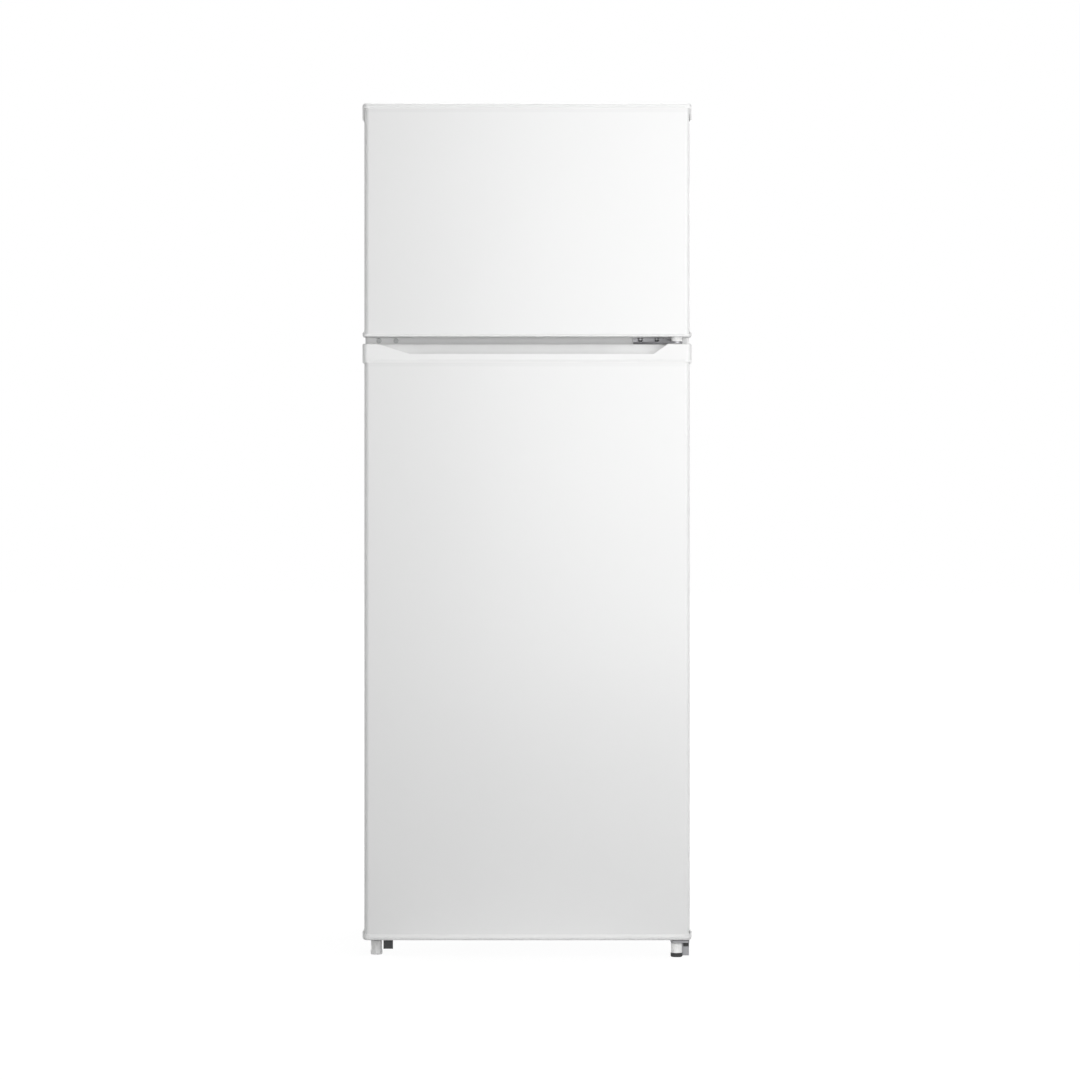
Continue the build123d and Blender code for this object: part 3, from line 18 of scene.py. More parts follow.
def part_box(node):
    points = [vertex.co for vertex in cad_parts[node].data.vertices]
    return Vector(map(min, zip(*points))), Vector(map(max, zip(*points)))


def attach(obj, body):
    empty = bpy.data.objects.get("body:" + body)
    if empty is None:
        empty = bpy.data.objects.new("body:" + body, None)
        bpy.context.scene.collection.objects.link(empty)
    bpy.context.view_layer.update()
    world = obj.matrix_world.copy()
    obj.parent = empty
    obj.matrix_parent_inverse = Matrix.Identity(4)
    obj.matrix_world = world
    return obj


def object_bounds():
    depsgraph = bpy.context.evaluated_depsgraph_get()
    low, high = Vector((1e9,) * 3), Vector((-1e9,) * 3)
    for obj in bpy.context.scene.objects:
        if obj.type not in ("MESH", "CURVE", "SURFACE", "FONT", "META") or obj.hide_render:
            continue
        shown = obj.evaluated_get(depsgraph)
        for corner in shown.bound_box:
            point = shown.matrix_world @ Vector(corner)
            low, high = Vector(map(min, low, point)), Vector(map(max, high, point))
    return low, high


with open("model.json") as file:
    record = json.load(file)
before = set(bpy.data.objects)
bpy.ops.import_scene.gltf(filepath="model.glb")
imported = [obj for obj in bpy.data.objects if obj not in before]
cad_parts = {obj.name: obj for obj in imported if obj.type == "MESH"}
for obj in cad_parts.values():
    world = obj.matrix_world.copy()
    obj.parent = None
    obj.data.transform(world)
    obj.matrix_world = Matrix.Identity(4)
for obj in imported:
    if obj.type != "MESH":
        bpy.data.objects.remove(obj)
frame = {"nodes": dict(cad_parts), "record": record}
solids = frame["nodes"]
cad_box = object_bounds()
print("solids:", len(solids), "box:", cad_box)

# %% [markdown]
# ## The camera
#
# The photograph is a catalogue picture. The camera stands far away and level, at half the refrigerator's
# height, so the doors show hardly any perspective. A long lens does that. Its length follows from how
# wide the picture is at the doors. A small shift of the lens puts the refrigerator a little left of and
# above the middle without tilting anything.

# %% Place the camera
PICTURE_WIDTH = 1.806
CAMERA_DISTANCE = 7.0
CAMERA_HEIGHT = 0.715
SENSOR = 36.0  # millimetres
LENS_SHIFT = (0.0120, -0.0088)  # parts of the picture's width
front = cad_box[0][1]

lens = bpy.data.cameras.new("catalogue_lens")
lens.sensor_width = SENSOR
lens.lens = SENSOR * CAMERA_DISTANCE / PICTURE_WIDTH
lens.shift_x, lens.shift_y = LENS_SHIFT
camera = bpy.data.objects.new("camera", lens)
camera.location = (0.0, front - CAMERA_DISTANCE, CAMERA_HEIGHT)
camera.rotation_euler = (math.radians(90), 0.0, 0.0)
scene = bpy.context.scene
scene.collection.objects.link(camera)
scene.camera = camera
scene.view_settings.view_transform = "Standard"
print("lens:", round(lens.lens, 1), "mm")

# %% [markdown]
# ## Shader sums in plain Python
#
# A finish is a graph of nodes, and long graphs are hard to read when every node is wired by hand. So one
# small class wraps a socket. Python's operators on it add Math nodes, and one method adds any other node,
# settings first.


# %% Wrap a socket
class Wire:
    """A socket of a shader graph, or the graph alone, that adds nodes as it is used."""

    def __init__(self, tree, socket=None):
        self.tree, self.socket = tree, socket

    def node(self, kind, settings=None, inputs=None, output=0):
        made = self.tree.nodes.new(kind)
        for name, value in (settings or {}).items():
            setattr(made, name, value)
        for name, value in (inputs or {}).items():
            if isinstance(value, Wire):
                self.tree.links.new(value.socket, made.inputs[name])
            else:
                made.inputs[name].default_value = value
        return Wire(self.tree, made.outputs[output])

    def math(self, operation, first, second):
        return self.node("ShaderNodeMath", {"operation": operation}, {0: first, 1: second})

    def __add__(self, other):
        return self.math("ADD", self, other)

    def __mul__(self, other):
        return self.math("MULTIPLY", self, other)

    def __sub__(self, other):
        return self.math("SUBTRACT", self, other)

    def __rsub__(self, other):
        return self.math("SUBTRACT", other, self)

    def __gt__(self, other):
        return self.math("GREATER_THAN", self, other)

    __radd__, __rmul__ = __add__, __mul__


print("wrapper:", Wire.__name__)

# %% [markdown]
# ## A sky that is white to look at
#
# The picture has a pure white ground. Turning the lamps up until the ground burns out would burn out the
# white doors too. So the sky is white only to the rays that are looked along: those from the camera, from
# gloss and through glass. To all other rays it is dim, and the lamps alone model the doors.

# %% Set the sky
SKY_FILL = 0.08
LOOKED_ALONG = ("Is Camera Ray", "Is Glossy Ray", "Is Transmission Ray")


def looked_along(graph):
    """1 on rays from the camera, from gloss or through glass, and 0 on the rest."""
    rays = [graph.node("ShaderNodeLightPath", output=kind) for kind in LOOKED_ALONG]
    return rays[0] + rays[1] + rays[2] > 0.5


sky = bpy.data.worlds.new("white_sky")
sky.use_nodes = True
scene.world = sky
sky_graph = Wire(sky.node_tree)
sky_strength = SKY_FILL + looked_along(sky_graph) * (1.0 - SKY_FILL)
sky_shader = sky.node_tree.nodes["Background"]
sky_shader.inputs["Color"].default_value = (1, 1, 1, 1)
sky.node_tree.links.new(sky_strength.socket, sky_shader.inputs["Strength"])
print("sky:", sky.name, "fill:", SKY_FILL)

# %% [markdown]
# ## A floor that keeps the shadow
#
# To the rays that are looked along, the floor is nearly as white as the sky. Beside the refrigerator a
# part of its own shading is kept, so that the feet still have their shadow, and further out it runs into
# the sky. To all other rays the floor is grey, with a pale patch underneath that lights the feet from
# below.

# %% Lay the floor
FLOOR_REACH = 40.0
FLOOR_TONE = 0.9
FLOOR_WHITE = 0.90  # how much of the floor's own shading is washed out beside the refrigerator
FLOOR_FADE = (0.7, 2.2)  # from where to where the rest goes, in metres from the middle
WASH_GLOW = 1.05
PATCH_TONE = 0.92
PATCH_REACH = (0.34, 0.44)  # from where to where the pale patch ends
BOUNCE_TONE = 0.33

floor_mesh = bmesh.new()
bmesh.ops.create_grid(floor_mesh, x_segments=1, y_segments=1, size=FLOOR_REACH)
floor_data = bpy.data.meshes.new("floor")
floor_mesh.to_mesh(floor_data)
floor_mesh.free()
floor = bpy.data.objects.new("floor", floor_data)
scene.collection.objects.link(floor)

floor_paint = bpy.data.materials.new("pale_floor")
floor_paint.use_nodes = True
floor_graph = Wire(floor_paint.node_tree)
ground = floor_graph.node("ShaderNodeTexCoord", output="Object")
away = floor_graph.node("ShaderNodeVectorMath", {"operation": "LENGTH"}, {0: ground}, output="Value")


def over_distance(reach, near, far):
    """A value that goes smoothly from near to far between two distances from the middle of the floor."""
    ends = {"Value": away, "From Min": reach[0], "From Max": reach[1], "To Min": near, "To Max": far}
    return floor_graph.node("ShaderNodeMapRange", {"interpolation_type": "SMOOTHSTEP"}, ends)


matt = floor_graph.node("ShaderNodeBsdfDiffuse", None, {"Color": (FLOOR_TONE, FLOOR_TONE, FLOOR_TONE, 1)})
white = floor_graph.node("ShaderNodeEmission", None, {"Color": (1, 1, 1, 1), "Strength": WASH_GLOW})
wash = over_distance(FLOOR_FADE, FLOOR_WHITE, 1.0)
seen = floor_graph.node("ShaderNodeMixShader", None, {0: wash, 1: matt, 2: white})
patch = over_distance(PATCH_REACH, PATCH_TONE, BOUNCE_TONE)
bounce = floor_graph.node("ShaderNodeBsdfDiffuse", None, {"Color": patch})
either = floor_graph.node("ShaderNodeMixShader", None, {0: looked_along(floor_graph), 1: bounce, 2: seen})
floor_out = floor_paint.node_tree.nodes["Material Output"]
floor_paint.node_tree.links.new(either.socket, floor_out.inputs["Surface"])
floor_data.materials.append(floor_paint)
print("floor:", floor.name, "reach:", FLOOR_REACH)

# %% [markdown]
# ## The lamps
#
# The doors are brightest at the upper right and fade towards the lower left. That is one soft lamp to the
# right, in front, at about the height of the upper door. A lamp behind the camera shines level into the
# gap between the doors. One overhead draws the light line along the upper edges. The side and back lamps
# stand behind the doors, where they can't touch the fronts, for anyone who walks round. The front lamp
# and the side lamps are kept out of the gloss, or the paint would mirror them.


# %% Hang the lamps
def softbox(name, place, target, width, watts, gleam=True):
    lamp = bpy.data.lights.new(name, "AREA")
    lamp.size, lamp.energy = width, watts
    hung = bpy.data.objects.new(name, lamp)
    hung.location = place
    hung.rotation_euler = (Vector(target) - Vector(place)).to_track_quat("-Z", "Y").to_euler()
    hung.visible_camera, hung.visible_glossy = False, gleam
    scene.collection.objects.link(hung)


softbox("key_lamp", place=(0.78, -2.1, 1.33), target=(0.0, -0.28, 1.0), width=2.0, watts=39.3)
softbox("front_lamp", place=(0.1, -8.6, 0.7), target=(0.0, 0.0, 0.7), width=1.5, watts=101.0, gleam=False)
softbox("top_lamp", place=(0.1, 0.5, 3.4), target=(0.0, 0.1, 1.4), width=1.2, watts=29.0)
softbox("left_lamp", place=(-2.3, 0.95, 1.0), target=(-0.27, 0.0, 0.7), width=1.2, watts=30.0, gleam=False)
softbox("right_lamp", place=(2.3, 1.15, 1.0), target=(0.27, 0.0, 0.7), width=1.2, watts=26.0, gleam=False)
softbox("back_lamp", place=(0.9, 3.0, 1.9), target=(0.0, 0.27, 0.6), width=1.4, watts=14.0)

# %% [markdown]
# ## Mixing finishes
#
# Each finish is a Principled shader. What is the same all over is set on its sockets. What changes over
# the surface, such as a tint, a roughness or a bump, comes from patterns read in object coordinates, so
# its grain has a real size and stays put when a door swings.


# %% Patterns
def speckle(graph, scale, detail=2.0, stretch=(1.0, 1.0, 1.0)):
    """Noise between 0 and 1, about `scale` grains to the metre, squeezed along each axis by `stretch`."""
    place = graph.node("ShaderNodeTexCoord", output="Object")
    place = graph.node("ShaderNodeMapping", None, {"Vector": place, "Scale": stretch})
    return graph.node("ShaderNodeTexNoise", None, {"Vector": place, "Scale": scale, "Detail": detail})


def cells(graph, scale):
    """Distance to the nearest of scattered points, for moulded grain and foam."""
    place = graph.node("ShaderNodeTexCoord", output="Object")
    return graph.node("ShaderNodeTexVoronoi", None, {"Vector": place, "Scale": scale})


def along(graph, axis):
    """The object coordinate along X, Y or Z, in metres."""
    place = graph.node("ShaderNodeTexCoord", output="Object")
    return graph.node("ShaderNodeSeparateXYZ", None, {0: place}, output=axis)


def fade(graph, value, start, end):
    """0 before start, 1 after end and a smooth step between them."""
    settings = {"interpolation_type": "SMOOTHSTEP"}
    return graph.node("ShaderNodeMapRange", settings, {"Value": value, "From Min": start, "From Max": end})


def band(graph, value, low, high, soft):
    """1 between low and high, with an edge `soft` wide on either side, and 0 outside."""
    return fade(graph, value, low - soft, low) * (1.0 - fade(graph, value, high, high + soft))


print("patterns:", [pattern.__name__ for pattern in (speckle, cells, along, fade, band)])

# %% [markdown]
# ## From patterns to a material
#
# Three helpers turn a pattern into something a shader takes: a colour between two others, a colour that
# changes its tone in chosen places, and a bent normal. A fourth makes the material and keeps it under its
# name.


# %% Colours, bumps and materials
def mixed(graph, amount, first, second):
    """A colour between two others."""
    first, second = [c if isinstance(c, Wire) else (*c, 1.0) for c in (first, second)]
    settings = {"data_type": "RGBA"}
    return graph.node("ShaderNodeMix", settings, {0: amount, 6: first, 7: second}, output=2)


def toned(graph, colour, light, places):
    """A colour that turns into a tone of `light` in some places, given as pairs of pattern and tone."""
    for amount, tone in places(graph):
        colour = mixed(graph, amount, colour, tuple(c * tone for c in light))
    return colour


def bumped(graph, height, depth):
    """A normal bent by a height pattern that is `depth` metres deep."""
    inputs = {"Height": height, "Distance": depth, "Strength": 1.0}
    return graph.node("ShaderNodeBump", None, inputs, output="Normal")


finishes = {}


def mix_finish(name, varied, **same):
    """Makes a material. `varied` gives the sockets that change over the surface, `same` the rest."""
    material = bpy.data.materials.new(name)
    material.use_nodes = True
    tree = material.node_tree
    shader = tree.nodes["Principled BSDF"]
    for socket, value in same.items():
        shader.inputs[socket.replace("_", " ")].default_value = value
    for socket, wire in varied(Wire(tree)).items():
        tree.links.new(wire.socket, shader.inputs[socket])
    finishes[name] = material


print("helpers:", [helper.__name__ for helper in (mixed, toned, bumped, mix_finish)])

# %% [markdown]
# ## Painted steel
#
# Nearly everything seen from the front is white, so the whites have to differ in their surface. Door
# sheets are baked enamel: smooth, with a faint orange peel and a clear gloss. The cabinet's sheets are
# painted with a pebbled texture that hides dents. In the photo a soft shade lies on the doors' steel just
# under the upper caps. These lamps don't throw it, so it is mixed into the paint.

# %% Painted steel
FRIDGE_SHADE = (-0.0052, -0.0020)  # from where to where, measured up from the steel's upper edge
FREEZER_SHADE = (-0.0055, -0.0020)
SHADE_EDGE = 0.0025
SHADE_TONE = 0.95
fridge_steel_low, fridge_steel_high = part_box("fridge_door_skin")
freezer_steel_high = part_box("freezer_door_skin")[1]


def under_caps(graph):
    """The strips of shade under the upper caps, each with its tone."""
    height = along(graph, "Z")
    for edge, (low, high) in ((fridge_steel_high[2], FRIDGE_SHADE), (freezer_steel_high[2], FREEZER_SHADE)):
        yield band(graph, height, edge + low, edge + high, SHADE_EDGE), SHADE_TONE


def enamel(graph):
    peel = speckle(graph, scale=420.0)
    cloud = speckle(graph, scale=4.0, detail=3.0)
    light = (0.82, 0.822, 0.82)
    dull = tuple(c * 0.975 for c in light)
    return {
        "Base Color": toned(graph, mixed(graph, cloud, dull, light), light, under_caps),
        "Roughness": 0.38 + 0.10 * peel,
        "Normal": bumped(graph, peel, depth=0.00004),
    }


def textured_paint(graph):
    pebbles = cells(graph, scale=420.0)
    cloud = speckle(graph, scale=4.0, detail=3.0)
    return {
        "Base Color": mixed(graph, cloud, (0.84, 0.842, 0.84), (0.865, 0.867, 0.865)),
        "Roughness": 0.46 + 0.12 * pebbles,
        "Normal": bumped(graph, pebbles, depth=0.00012),
    }


mix_finish("door_paint", enamel, Coat_Weight=0.5, Coat_Roughness=0.22)
mix_finish("cabinet_paint", textured_paint)
print("finishes:", len(finishes))

# %% [markdown]
# ## White plastic
#
# End caps are moulded plastic with a fine spark grain and a softer gleam than the steel. Their white
# isn't even: the finger scoop lies in shade, thin lines of shade run along the seams beside the steel,
# and the right end and the right wings, where the key lamp falls, are held off pure white. These lamps
# give only a part of that, so it is painted shade in the caps' colour, by place. Trims, bushes and
# coated wire are plain mixes of the same kind.

# %% White plastic
# Painted shade on the caps: the scoop in shade, a little less at its right end, the lit right end and right
# wings held off white, and thin lines of shade along the seams beside the steel.
SCOOP_PAINTED_SHADE_TONE = 0.82
SCOOP_END_PAINTED_SHADE_TONE = 0.87
RIGHT_END_PAINTED_SHADE_TONE = 0.955
WING_PAINTED_SHADE_TONE = 0.84
SEAM_PAINTED_SHADE_TONE = 0.98
LOW_SEAM_PAINTED_SHADE_TONE = 0.93
SCOOP_DEPTHS = (0.007, 0.016)  # where the scoop's darker tone sets in, behind the cap's face
RIGHT_END = (0.12, 0.21)  # where the cap's right end begins, along X
WING = (-0.0025, 0.0010)  # where the right wing's tone sets in, from the right side of the steel
FRIDGE_SEAM = (-0.0005, 0.0040)  # from where to where, measured up from the steel's upper edge
FREEZER_SEAM = (-0.0010, 0.0020)
LOW_SEAM = (-0.0033, 0.0002)  # the same at the lower edge of the fridge door's steel
SEAM_EDGE = 0.001
cap_low, cap_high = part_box("fridge_door_top_cap")


def cap_tones(graph):
    """Places on the caps where shade is painted into the colour, each with its tone."""
    across, height = along(graph, "X"), along(graph, "Z")
    upper_cap = band(graph, height, cap_low[2], cap_high[2], SEAM_EDGE)
    scoop = upper_cap * fade(graph, along(graph, "Y") - cap_low[1], *SCOOP_DEPTHS)
    right = fade(graph, across, *RIGHT_END)
    yield upper_cap * right, RIGHT_END_PAINTED_SHADE_TONE
    yield scoop * (1.0 - right), SCOOP_PAINTED_SHADE_TONE
    yield scoop * right, SCOOP_END_PAINTED_SHADE_TONE
    yield fade(graph, across, *[fridge_steel_high[0] + start for start in WING]), WING_PAINTED_SHADE_TONE
    seams = (
        (fridge_steel_high[2], FRIDGE_SEAM, SEAM_PAINTED_SHADE_TONE),
        (freezer_steel_high[2], FREEZER_SEAM, SEAM_PAINTED_SHADE_TONE),
        (fridge_steel_low[2], LOW_SEAM, LOW_SEAM_PAINTED_SHADE_TONE),
    )
    for edge, (low, high), tone in seams:
        yield band(graph, height, edge + low, edge + high, SEAM_EDGE), tone


def moulded(light, grain, depth, rough, places=None):
    def varied(graph):
        spark = cells(graph, grain)
        cloud = speckle(graph, scale=12.0)
        dull = tuple(c * 0.96 for c in light)
        colour = mixed(graph, cloud, dull, light)
        return {
            "Base Color": toned(graph, colour, light, places) if places else colour,
            "Roughness": rough + 0.12 * spark,
            "Normal": bumped(graph, spark, depth),
        }

    return varied


# The caps' white takes on the painted shade of the places above.
cap_plastic = moulded((0.895, 0.897, 0.894), grain=1600.0, depth=0.00003, rough=0.34, places=cap_tones)
wire_coating = moulded((0.80, 0.805, 0.805), grain=900.0, depth=0.00002, rough=0.24)
mix_finish("cap_white", cap_plastic)
mix_finish("bush_white", moulded((0.94, 0.94, 0.935), grain=1200.0, depth=0.00004, rough=0.42))
mix_finish("trim_white", moulded((0.78, 0.785, 0.785), grain=1400.0, depth=0.00003, rough=0.30))
mix_finish("wire_white", wire_coating, Coat_Weight=0.3)
print("finishes:", len(finishes))

# %% [markdown]
# ## Liners
#
# The liners are sheets of plastic, softened and drawn into shape by vacuum. That leaves a shine with slow
# waves in it, so one broad pattern bends the surface and a fine one only changes the roughness.


# %% Liners
def vacuum_formed(graph):
    waves = speckle(graph, scale=18.0, detail=1.0)
    fine = speckle(graph, scale=260.0)
    return {
        "Base Color": mixed(graph, waves, (0.80, 0.81, 0.81), (0.83, 0.84, 0.84)),
        "Roughness": 0.20 + 0.10 * fine,
        "Normal": bumped(graph, waves, depth=0.0004),
    }


mix_finish("liner_white", vacuum_formed, Coat_Weight=0.2, Coat_Roughness=0.1)
print("finishes:", len(finishes))

# %% [markdown]
# ## Rolled metal
#
# Hinges and the evaporator's plate are rolled metal, which shows fine marks along one direction. Screws
# take the same mix with an even grain. All get their colour from the metal itself, with a steady metallic
# value, and only tint, roughness and bump change.


# %% Rolled metal
def rolled(light, dark, stretch, rough):
    def varied(graph):
        marks = speckle(graph, 90.0, 4.0, stretch)
        cloud = speckle(graph, scale=30.0, detail=3.0)
        return {
            "Base Color": mixed(graph, 0.6 * marks + 0.4 * cloud, dark, light),
            "Roughness": rough + 0.16 * marks,
            "Normal": bumped(graph, marks, depth=0.00003),
        }

    return varied


hinge_metal = rolled((0.34, 0.34, 0.35), (0.21, 0.21, 0.22), stretch=(1.0, 8.0, 8.0), rough=0.36)
dark_metal = rolled((0.10, 0.10, 0.105), (0.05, 0.05, 0.052), stretch=(1.0, 6.0, 6.0), rough=0.46)
screw_metal = rolled((0.50, 0.50, 0.51), (0.34, 0.34, 0.35), stretch=(4.0, 4.0, 4.0), rough=0.36)
plate_metal = rolled((0.80, 0.80, 0.81), (0.66, 0.66, 0.67), stretch=(1.0, 10.0, 10.0), rough=0.32)
mix_finish("hinge_steel", hinge_metal, Metallic=1.0)
mix_finish("dark_steel", dark_metal, Metallic=0.5)
mix_finish("bright_steel", screw_metal, Metallic=1.0)
mix_finish("aluminium_sheet", plate_metal, Metallic=1.0)
print("finishes:", len(finishes))

# %% [markdown]
# ## Zinc, copper and black enamel
#
# The back sheet and the base pan are plated with the large pale flakes of hot zinc, each flake a cell
# with a tone of its own. Only the pan's front flange is painted, because it shows when the door is open,
# so there the metallic value goes to zero. Copper pipes carry a cloudy brown tarnish. The compressor is
# black enamel with dust on it.

# %% Zinc, copper and black enamel
FLANGE_FADE = (0.0012, 0.0024)  # from where to where the flange's paint ends, behind its face
cabinet_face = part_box("base_pan")[0][1]


def galvanised(graph):
    place = graph.node("ShaderNodeTexCoord", output="Object")
    flakes = graph.node("ShaderNodeTexVoronoi", None, {"Vector": place, "Scale": 95.0}, output="Color")
    tone = graph.node("ShaderNodeSeparateColor", None, {0: flakes}, output="Red")
    fine = speckle(graph, scale=300.0)
    zinc = mixed(graph, tone, (0.56, 0.57, 0.58), (0.66, 0.67, 0.68))
    bare = fade(graph, along(graph, "Y") - cabinet_face, *FLANGE_FADE)
    return {
        "Base Color": mixed(graph, bare, (0.85, 0.852, 0.85), zinc),
        "Metallic": 0.75 * bare,
        "Roughness": 0.40 + 0.16 * tone,
        "Normal": bumped(graph, fine, depth=0.00002),
    }


def tarnished_copper(graph):
    cloud = speckle(graph, scale=45.0, detail=4.0)
    fine = speckle(graph, scale=500.0)
    tarnish = fade(graph, cloud, start=0.40, end=0.66)
    return {
        "Base Color": mixed(graph, tarnish, (0.72, 0.38, 0.23), (0.42, 0.22, 0.14)),
        "Roughness": 0.24 + 0.25 * cloud,
        "Normal": bumped(graph, fine, depth=0.00002),
    }


def dusty_enamel(graph):
    peel = speckle(graph, scale=350.0)
    dust = speckle(graph, scale=24.0, detail=5.0)
    return {
        "Base Color": mixed(graph, 0.35 * dust, (0.012, 0.012, 0.013), (0.10, 0.10, 0.095)),
        "Roughness": 0.30 + 0.25 * dust,
        "Normal": bumped(graph, peel, depth=0.00006),
    }


mix_finish("rear_sheet", galvanised)
mix_finish("copper_tube", tarnished_copper, Metallic=1.0)
mix_finish("compressor_black", dusty_enamel, Coat_Weight=0.2, Coat_Roughness=0.25)
print("finishes:", len(finishes))

# %% [markdown]
# ## Clear pieces
#
# Shelf glass is nearly colourless through its face and green along its edges, because there the light
# runs through a long stretch of it. The tint is therefore mixed by the distance to the edge of the sheet.
# Bins and crisper are clear plastic with a trace of blue. The lens over the lamp is frosted and always
# glows here, since it is only seen with the door open.

# %% Clear pieces
GREEN_EDGE = 0.006
LAMP_COLOUR = (1.0, 0.94, 0.82, 1.0)
LAMP_GLOW = 14.0
glass_low, glass_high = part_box("shelf_glass")


def green_edged(graph):
    across = graph.math("ABSOLUTE", along(graph, "X"), 0.0)
    deep = graph.math("ABSOLUTE", along(graph, "Y") - (glass_low[1] + glass_high[1]) / 2, 0.0)
    half_depth = (glass_high[1] - glass_low[1]) / 2
    side = fade(graph, across, glass_high[0] - GREEN_EDGE, glass_high[0])
    end = fade(graph, deep, half_depth - GREEN_EDGE, half_depth)
    edge = graph.math("MAXIMUM", side, end)
    smear = speckle(graph, scale=9.0, detail=3.0)
    return {
        "Base Color": mixed(graph, edge, (0.93, 0.97, 0.955), (0.42, 0.72, 0.60)),
        "Roughness": 0.01 + 0.05 * smear,
    }


def clear_moulding(graph):
    flow = speckle(graph, scale=14.0, stretch=(1.0, 1.0, 3.0))
    return {
        "Base Color": mixed(graph, flow, (0.86, 0.91, 0.94), (0.93, 0.96, 0.98)),
        "Roughness": 0.06 + 0.08 * flow,
        "Normal": bumped(graph, flow, depth=0.0003),
    }


def frosted(graph):
    place = graph.node("ShaderNodeTexCoord", output="Object")
    ribs = graph.node("ShaderNodeTexWave", {"bands_direction": "X"}, {"Vector": place, "Scale": 80.0})
    fine = speckle(graph, scale=800.0)
    return {
        "Base Color": mixed(graph, fine, (0.90, 0.90, 0.87), (0.95, 0.95, 0.93)),
        "Roughness": 0.40 + 0.15 * fine,
        "Normal": bumped(graph, ribs, depth=0.0006),
    }


lamp_glow = {"Emission_Color": LAMP_COLOUR, "Emission_Strength": LAMP_GLOW}
mix_finish("shelf_glass", green_edged, Transmission_Weight=1.0, IOR=1.52)
mix_finish("clear_plastic", clear_moulding, Transmission_Weight=0.88, IOR=1.49)
mix_finish("lens_frost", frosted, Transmission_Weight=0.45, IOR=1.49, **lamp_glow)
print("finishes:", len(finishes))

# %% [markdown]
# ## Rubber, black plastic and foam
#
# Rubber is matt and a little dusty, and foam is full of small cells. Black plastic is the same mix as the
# white kind, with its own tint and grain.


# %% Rubber, black plastic and foam
def soft_rubber(light, dull):
    def varied(graph):
        bloom = speckle(graph, scale=60.0, detail=4.0)
        fine = speckle(graph, scale=1500.0)
        return {
            "Base Color": mixed(graph, bloom, dull, light),
            "Roughness": 0.62 + 0.22 * bloom,
            "Normal": bumped(graph, fine, depth=0.00005),
        }

    return varied


def foamed(graph):
    pores = cells(graph, scale=900.0)
    cloud = speckle(graph, scale=25.0, detail=3.0)
    return {
        "Base Color": mixed(graph, cloud, (0.66, 0.56, 0.33), (0.80, 0.72, 0.50)),
        "Roughness": 0.80 + 0.15 * pores,
        "Normal": bumped(graph, pores, depth=0.0004),
    }


mix_finish("gasket_grey", soft_rubber((0.62, 0.63, 0.63), (0.55, 0.56, 0.56)))
mix_finish("black_rubber", soft_rubber((0.045, 0.045, 0.046), (0.025, 0.025, 0.026)))
mix_finish("black_plastic", moulded((0.035, 0.035, 0.036), grain=1100.0, depth=0.00005, rough=0.46))
mix_finish("insulating_foam", foamed)
print("finishes:", sorted(finishes))

# %% [markdown]
# ## Dressing the solids
#
# The record names a material slot for every solid, and the finishes carry the same names, so one loop
# dresses them all.

# %% Give each solid its finish
for part in frame["record"]["subparts"]:
    solid = solids[part["node"]]
    solid.data.materials.clear()
    solid.data.materials.append(finishes[part["material_slot"]])

# %% [markdown]
# ## Small pieces
#
# A few details are too fine for the solids. Most start from one of Blender's own shapes and are brought
# into form with mesh operators, and the numbers start from text. Each then rides on the body that carries
# it. One helper turns the finished mesh into a piece.


# %% Turn a mesh into a piece
def make_piece(name, mesh, body, slot):
    """Puts a bmesh into the scene as a piece that moves with a body and wears a slot's finish."""
    bmesh.ops.recalc_face_normals(mesh, faces=mesh.faces)
    data = bpy.data.meshes.new(name)
    mesh.to_mesh(data)
    mesh.free()
    data.materials.append(finishes[slot])
    piece = bpy.data.objects.new(name, data)
    scene.collection.objects.link(piece)
    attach(piece, body)
    print(name, "faces:", len(data.polygons))


print("helper:", make_piece.__name__)

# %% [markdown]
# ## Plugs and screw heads
#
# The doors can be hung on either side, so the cabinet has a second pair of hinge holes on the left. Plugs
# close them, and they show as grey spots deep in the gap. On the back, two larger plugs close the holes
# where the foam was let in, and a row of screws holds each side of the sheet. All of them are low domes:
# short cylinders with a bevelled rim.

# %% Plugs and screw heads
FRONT, BACK = -1, 1
DOME_SIDES = 32
RIM_ROUNDING = 0.6  # part of a dome's height
SPARE_HOLES_X = (-0.2494, -0.2207)
SPARE_HOLES_Z = 1.0347
SPARE_PLUG = (0.0042, 0.0016)  # radius and height, as for the others
FILL_PLUGS_X = (-0.146, 0.146)
FILL_PLUGS_UP = 0.09  # above the sheet's lower edge
FILL_PLUG = (0.015, 0.0012)
SCREWS_A_SIDE = 5
SCREWS_INSET = 0.010  # from the sheet's sides
SCREWS_END = 0.03  # from its upper and lower edges
SCREW_HEAD = (0.0036, 0.0015)
RIB_HEIGHT = 0.002  # of the back sheet, whose box ends at its ribs


def add_dome(mesh, foot, radius, height, outward):
    """Adds a disc that stands on a point and faces the front or the back, with its outer rim rounded."""
    middle = foot[1] + outward * height / 2
    turned = Matrix.Translation((foot[0], middle, foot[2])) @ Matrix.Rotation(math.radians(90), 4, "X")
    sizes = {"radius1": radius, "radius2": radius, "depth": height, "segments": DOME_SIDES}
    made = bmesh.ops.create_cone(mesh, cap_ends=True, matrix=turned, **sizes)
    edges = dict.fromkeys(edge for vert in made["verts"] for edge in vert.link_edges)
    rim = [edge for edge in edges if all((vert.co.y - middle) * outward > 0 for vert in edge.verts)]
    offset = RIM_ROUNDING * height
    bmesh.ops.bevel(mesh, geom=rim, offset=offset, segments=3, profile=0.5, affect="EDGES", material=-1)


rail_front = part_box("centre_rail")[0][1]
spare_plugs = bmesh.new()
for x in SPARE_HOLES_X:
    add_dome(spare_plugs, (x, rail_front, SPARE_HOLES_Z), *SPARE_PLUG, FRONT)
make_piece("spare_hole_plugs", spare_plugs, "cabinet", "gasket_grey")

sheet_low, sheet_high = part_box("rear_panel")
sheet_back = sheet_high[1] - RIB_HEIGHT
fill_plugs = bmesh.new()
for x in FILL_PLUGS_X:
    add_dome(fill_plugs, (x, sheet_back, sheet_low[2] + FILL_PLUGS_UP), *FILL_PLUG, BACK)
make_piece("foam_fill_plugs", fill_plugs, "cabinet", "trim_white")

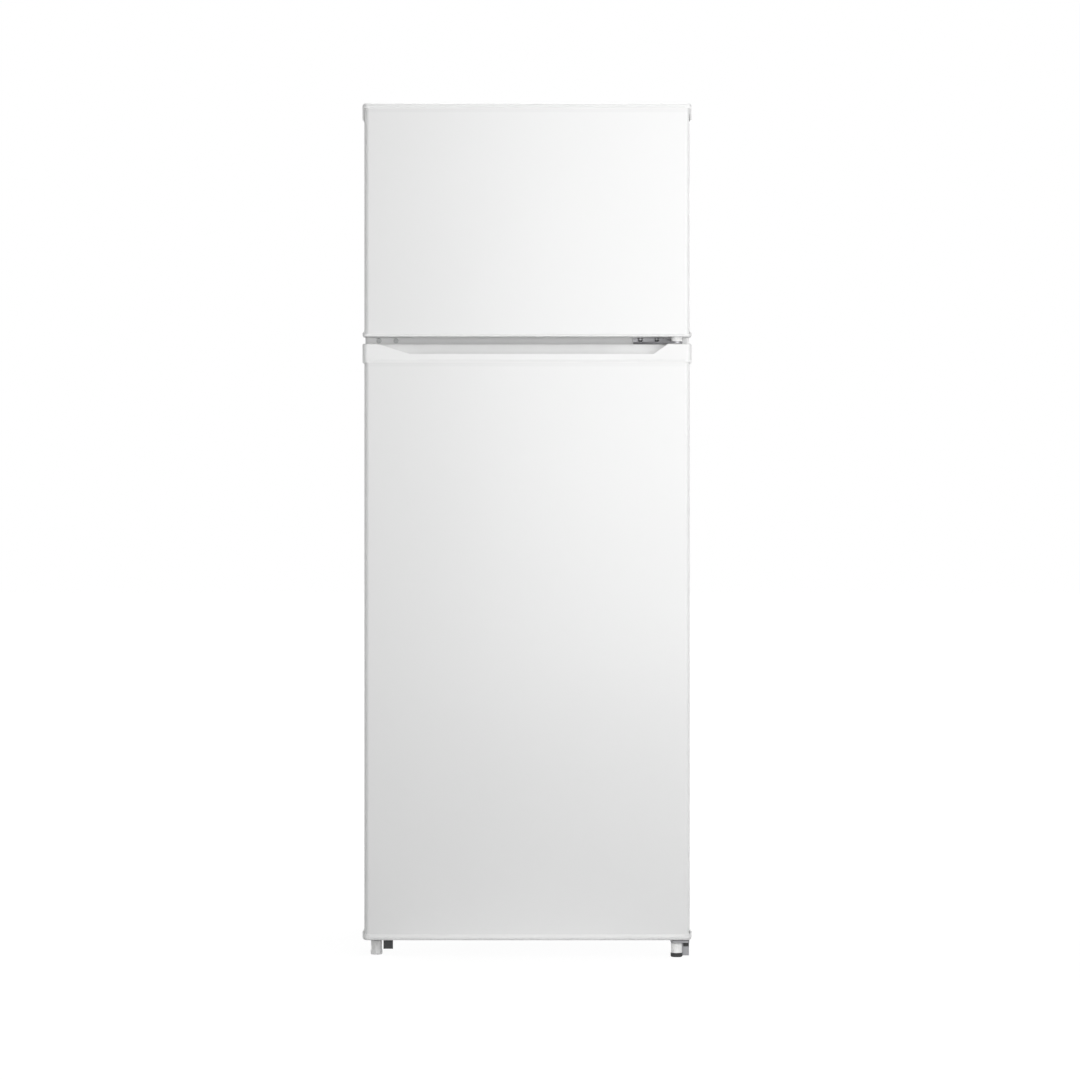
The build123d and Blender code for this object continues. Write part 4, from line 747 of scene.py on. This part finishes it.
back_screws = bmesh.new()
screw_pitch = (sheet_high[2] - sheet_low[2] - 2 * SCREWS_END) / (SCREWS_A_SIDE - 1)
for x in (sheet_low[0] + SCREWS_INSET, sheet_high[0] - SCREWS_INSET):
    for step in range(SCREWS_A_SIDE):
        z = sheet_low[2] + SCREWS_END + step * screw_pitch
        add_dome(back_screws, (x, sheet_back, z), *SCREW_HEAD, BACK)
make_piece("back_sheet_screws", back_screws, "cabinet", "bright_steel")

# %% [markdown]
# ## Painted shade on the bracket's slot
#
# The bottom hinge's bracket has a tab that turns down beside the right foot, with a slot in it. A black
# block over the front of the slot is painted shade, standing in for the dark seen through it. It starts
# as a cube, is scaled to size, moved into place and rounded along every edge.

# %% Painted shade on the bracket's slot
SHADE_BLOCK_SPAN = ((0.2622, 0.2716), (-0.2500, -0.2485), (0.0168, 0.0236))  # low and high along X, Y and Z
SHADE_BLOCK_ROUNDING = 0.0006
# A black block that is painted shade: it stands for the dark seen through the slot.
slot_shade_block = bmesh.new()
bmesh.ops.create_cube(slot_shade_block, size=1.0)
bmesh.ops.scale(slot_shade_block, vec=[high - low for low, high in SHADE_BLOCK_SPAN], verts=slot_shade_block.verts)
bmesh.ops.translate(slot_shade_block, vec=[(low + high) / 2 for low, high in SHADE_BLOCK_SPAN], verts=slot_shade_block.verts)
shade_block_edges = list(slot_shade_block.edges)
bmesh.ops.bevel(
    slot_shade_block, geom=shade_block_edges, offset=SHADE_BLOCK_ROUNDING, segments=2, profile=0.5, affect="EDGES", material=-1
)
make_piece("bracket_slot_painted_shade", slot_shade_block, "cabinet", "black_plastic")

# %% [markdown]
# ## Numbers round the thermostat
#
# The dial under the control housing is read from below, standing in front of the open door. The numbers
# are text turned into thin meshes, which face down with their heads to the front.

# %% Numbers round the thermostat
DIGITS = 6
DIGIT_HEIGHT = 0.0065
DIGIT_RING = 0.0262
DIGIT_DEPTH = 0.00025
DIAL_START, DIAL_STEP = 200, 28  # degrees
dial_low, dial_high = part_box("thermostat_knob")
dial_x = (dial_low[0] + dial_high[0]) / 2
dial_y = (dial_low[1] + dial_high[1]) / 2
housing_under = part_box("control_housing")[0][2]
numbers = bmesh.new()
for digit in range(DIGITS):
    turn = math.radians(DIAL_START + DIAL_STEP * digit)
    script = bpy.data.curves.new(f"digit_{digit}", "FONT")
    script.body = str(digit)
    script.size = DIGIT_HEIGHT
    script.align_x, script.align_y = "CENTER", "CENTER"
    script.extrude = DIGIT_DEPTH
    holder = bpy.data.objects.new(f"digit_{digit}", script)
    scene.collection.objects.link(holder)
    flat = bpy.data.meshes.new_from_object(holder.evaluated_get(bpy.context.evaluated_depsgraph_get()))
    across, deep = DIGIT_RING * math.cos(turn), DIGIT_RING * math.sin(turn)
    spot = (dial_x + across, dial_y + deep, housing_under - DIGIT_DEPTH)
    flat.transform(Matrix.Translation(spot) @ Matrix.Rotation(math.radians(180), 4, "X"))
    numbers.from_mesh(flat)
    bpy.data.objects.remove(holder)
    bpy.data.meshes.remove(flat)
make_piece("thermostat_numbers", numbers, "cabinet", "dark_steel")
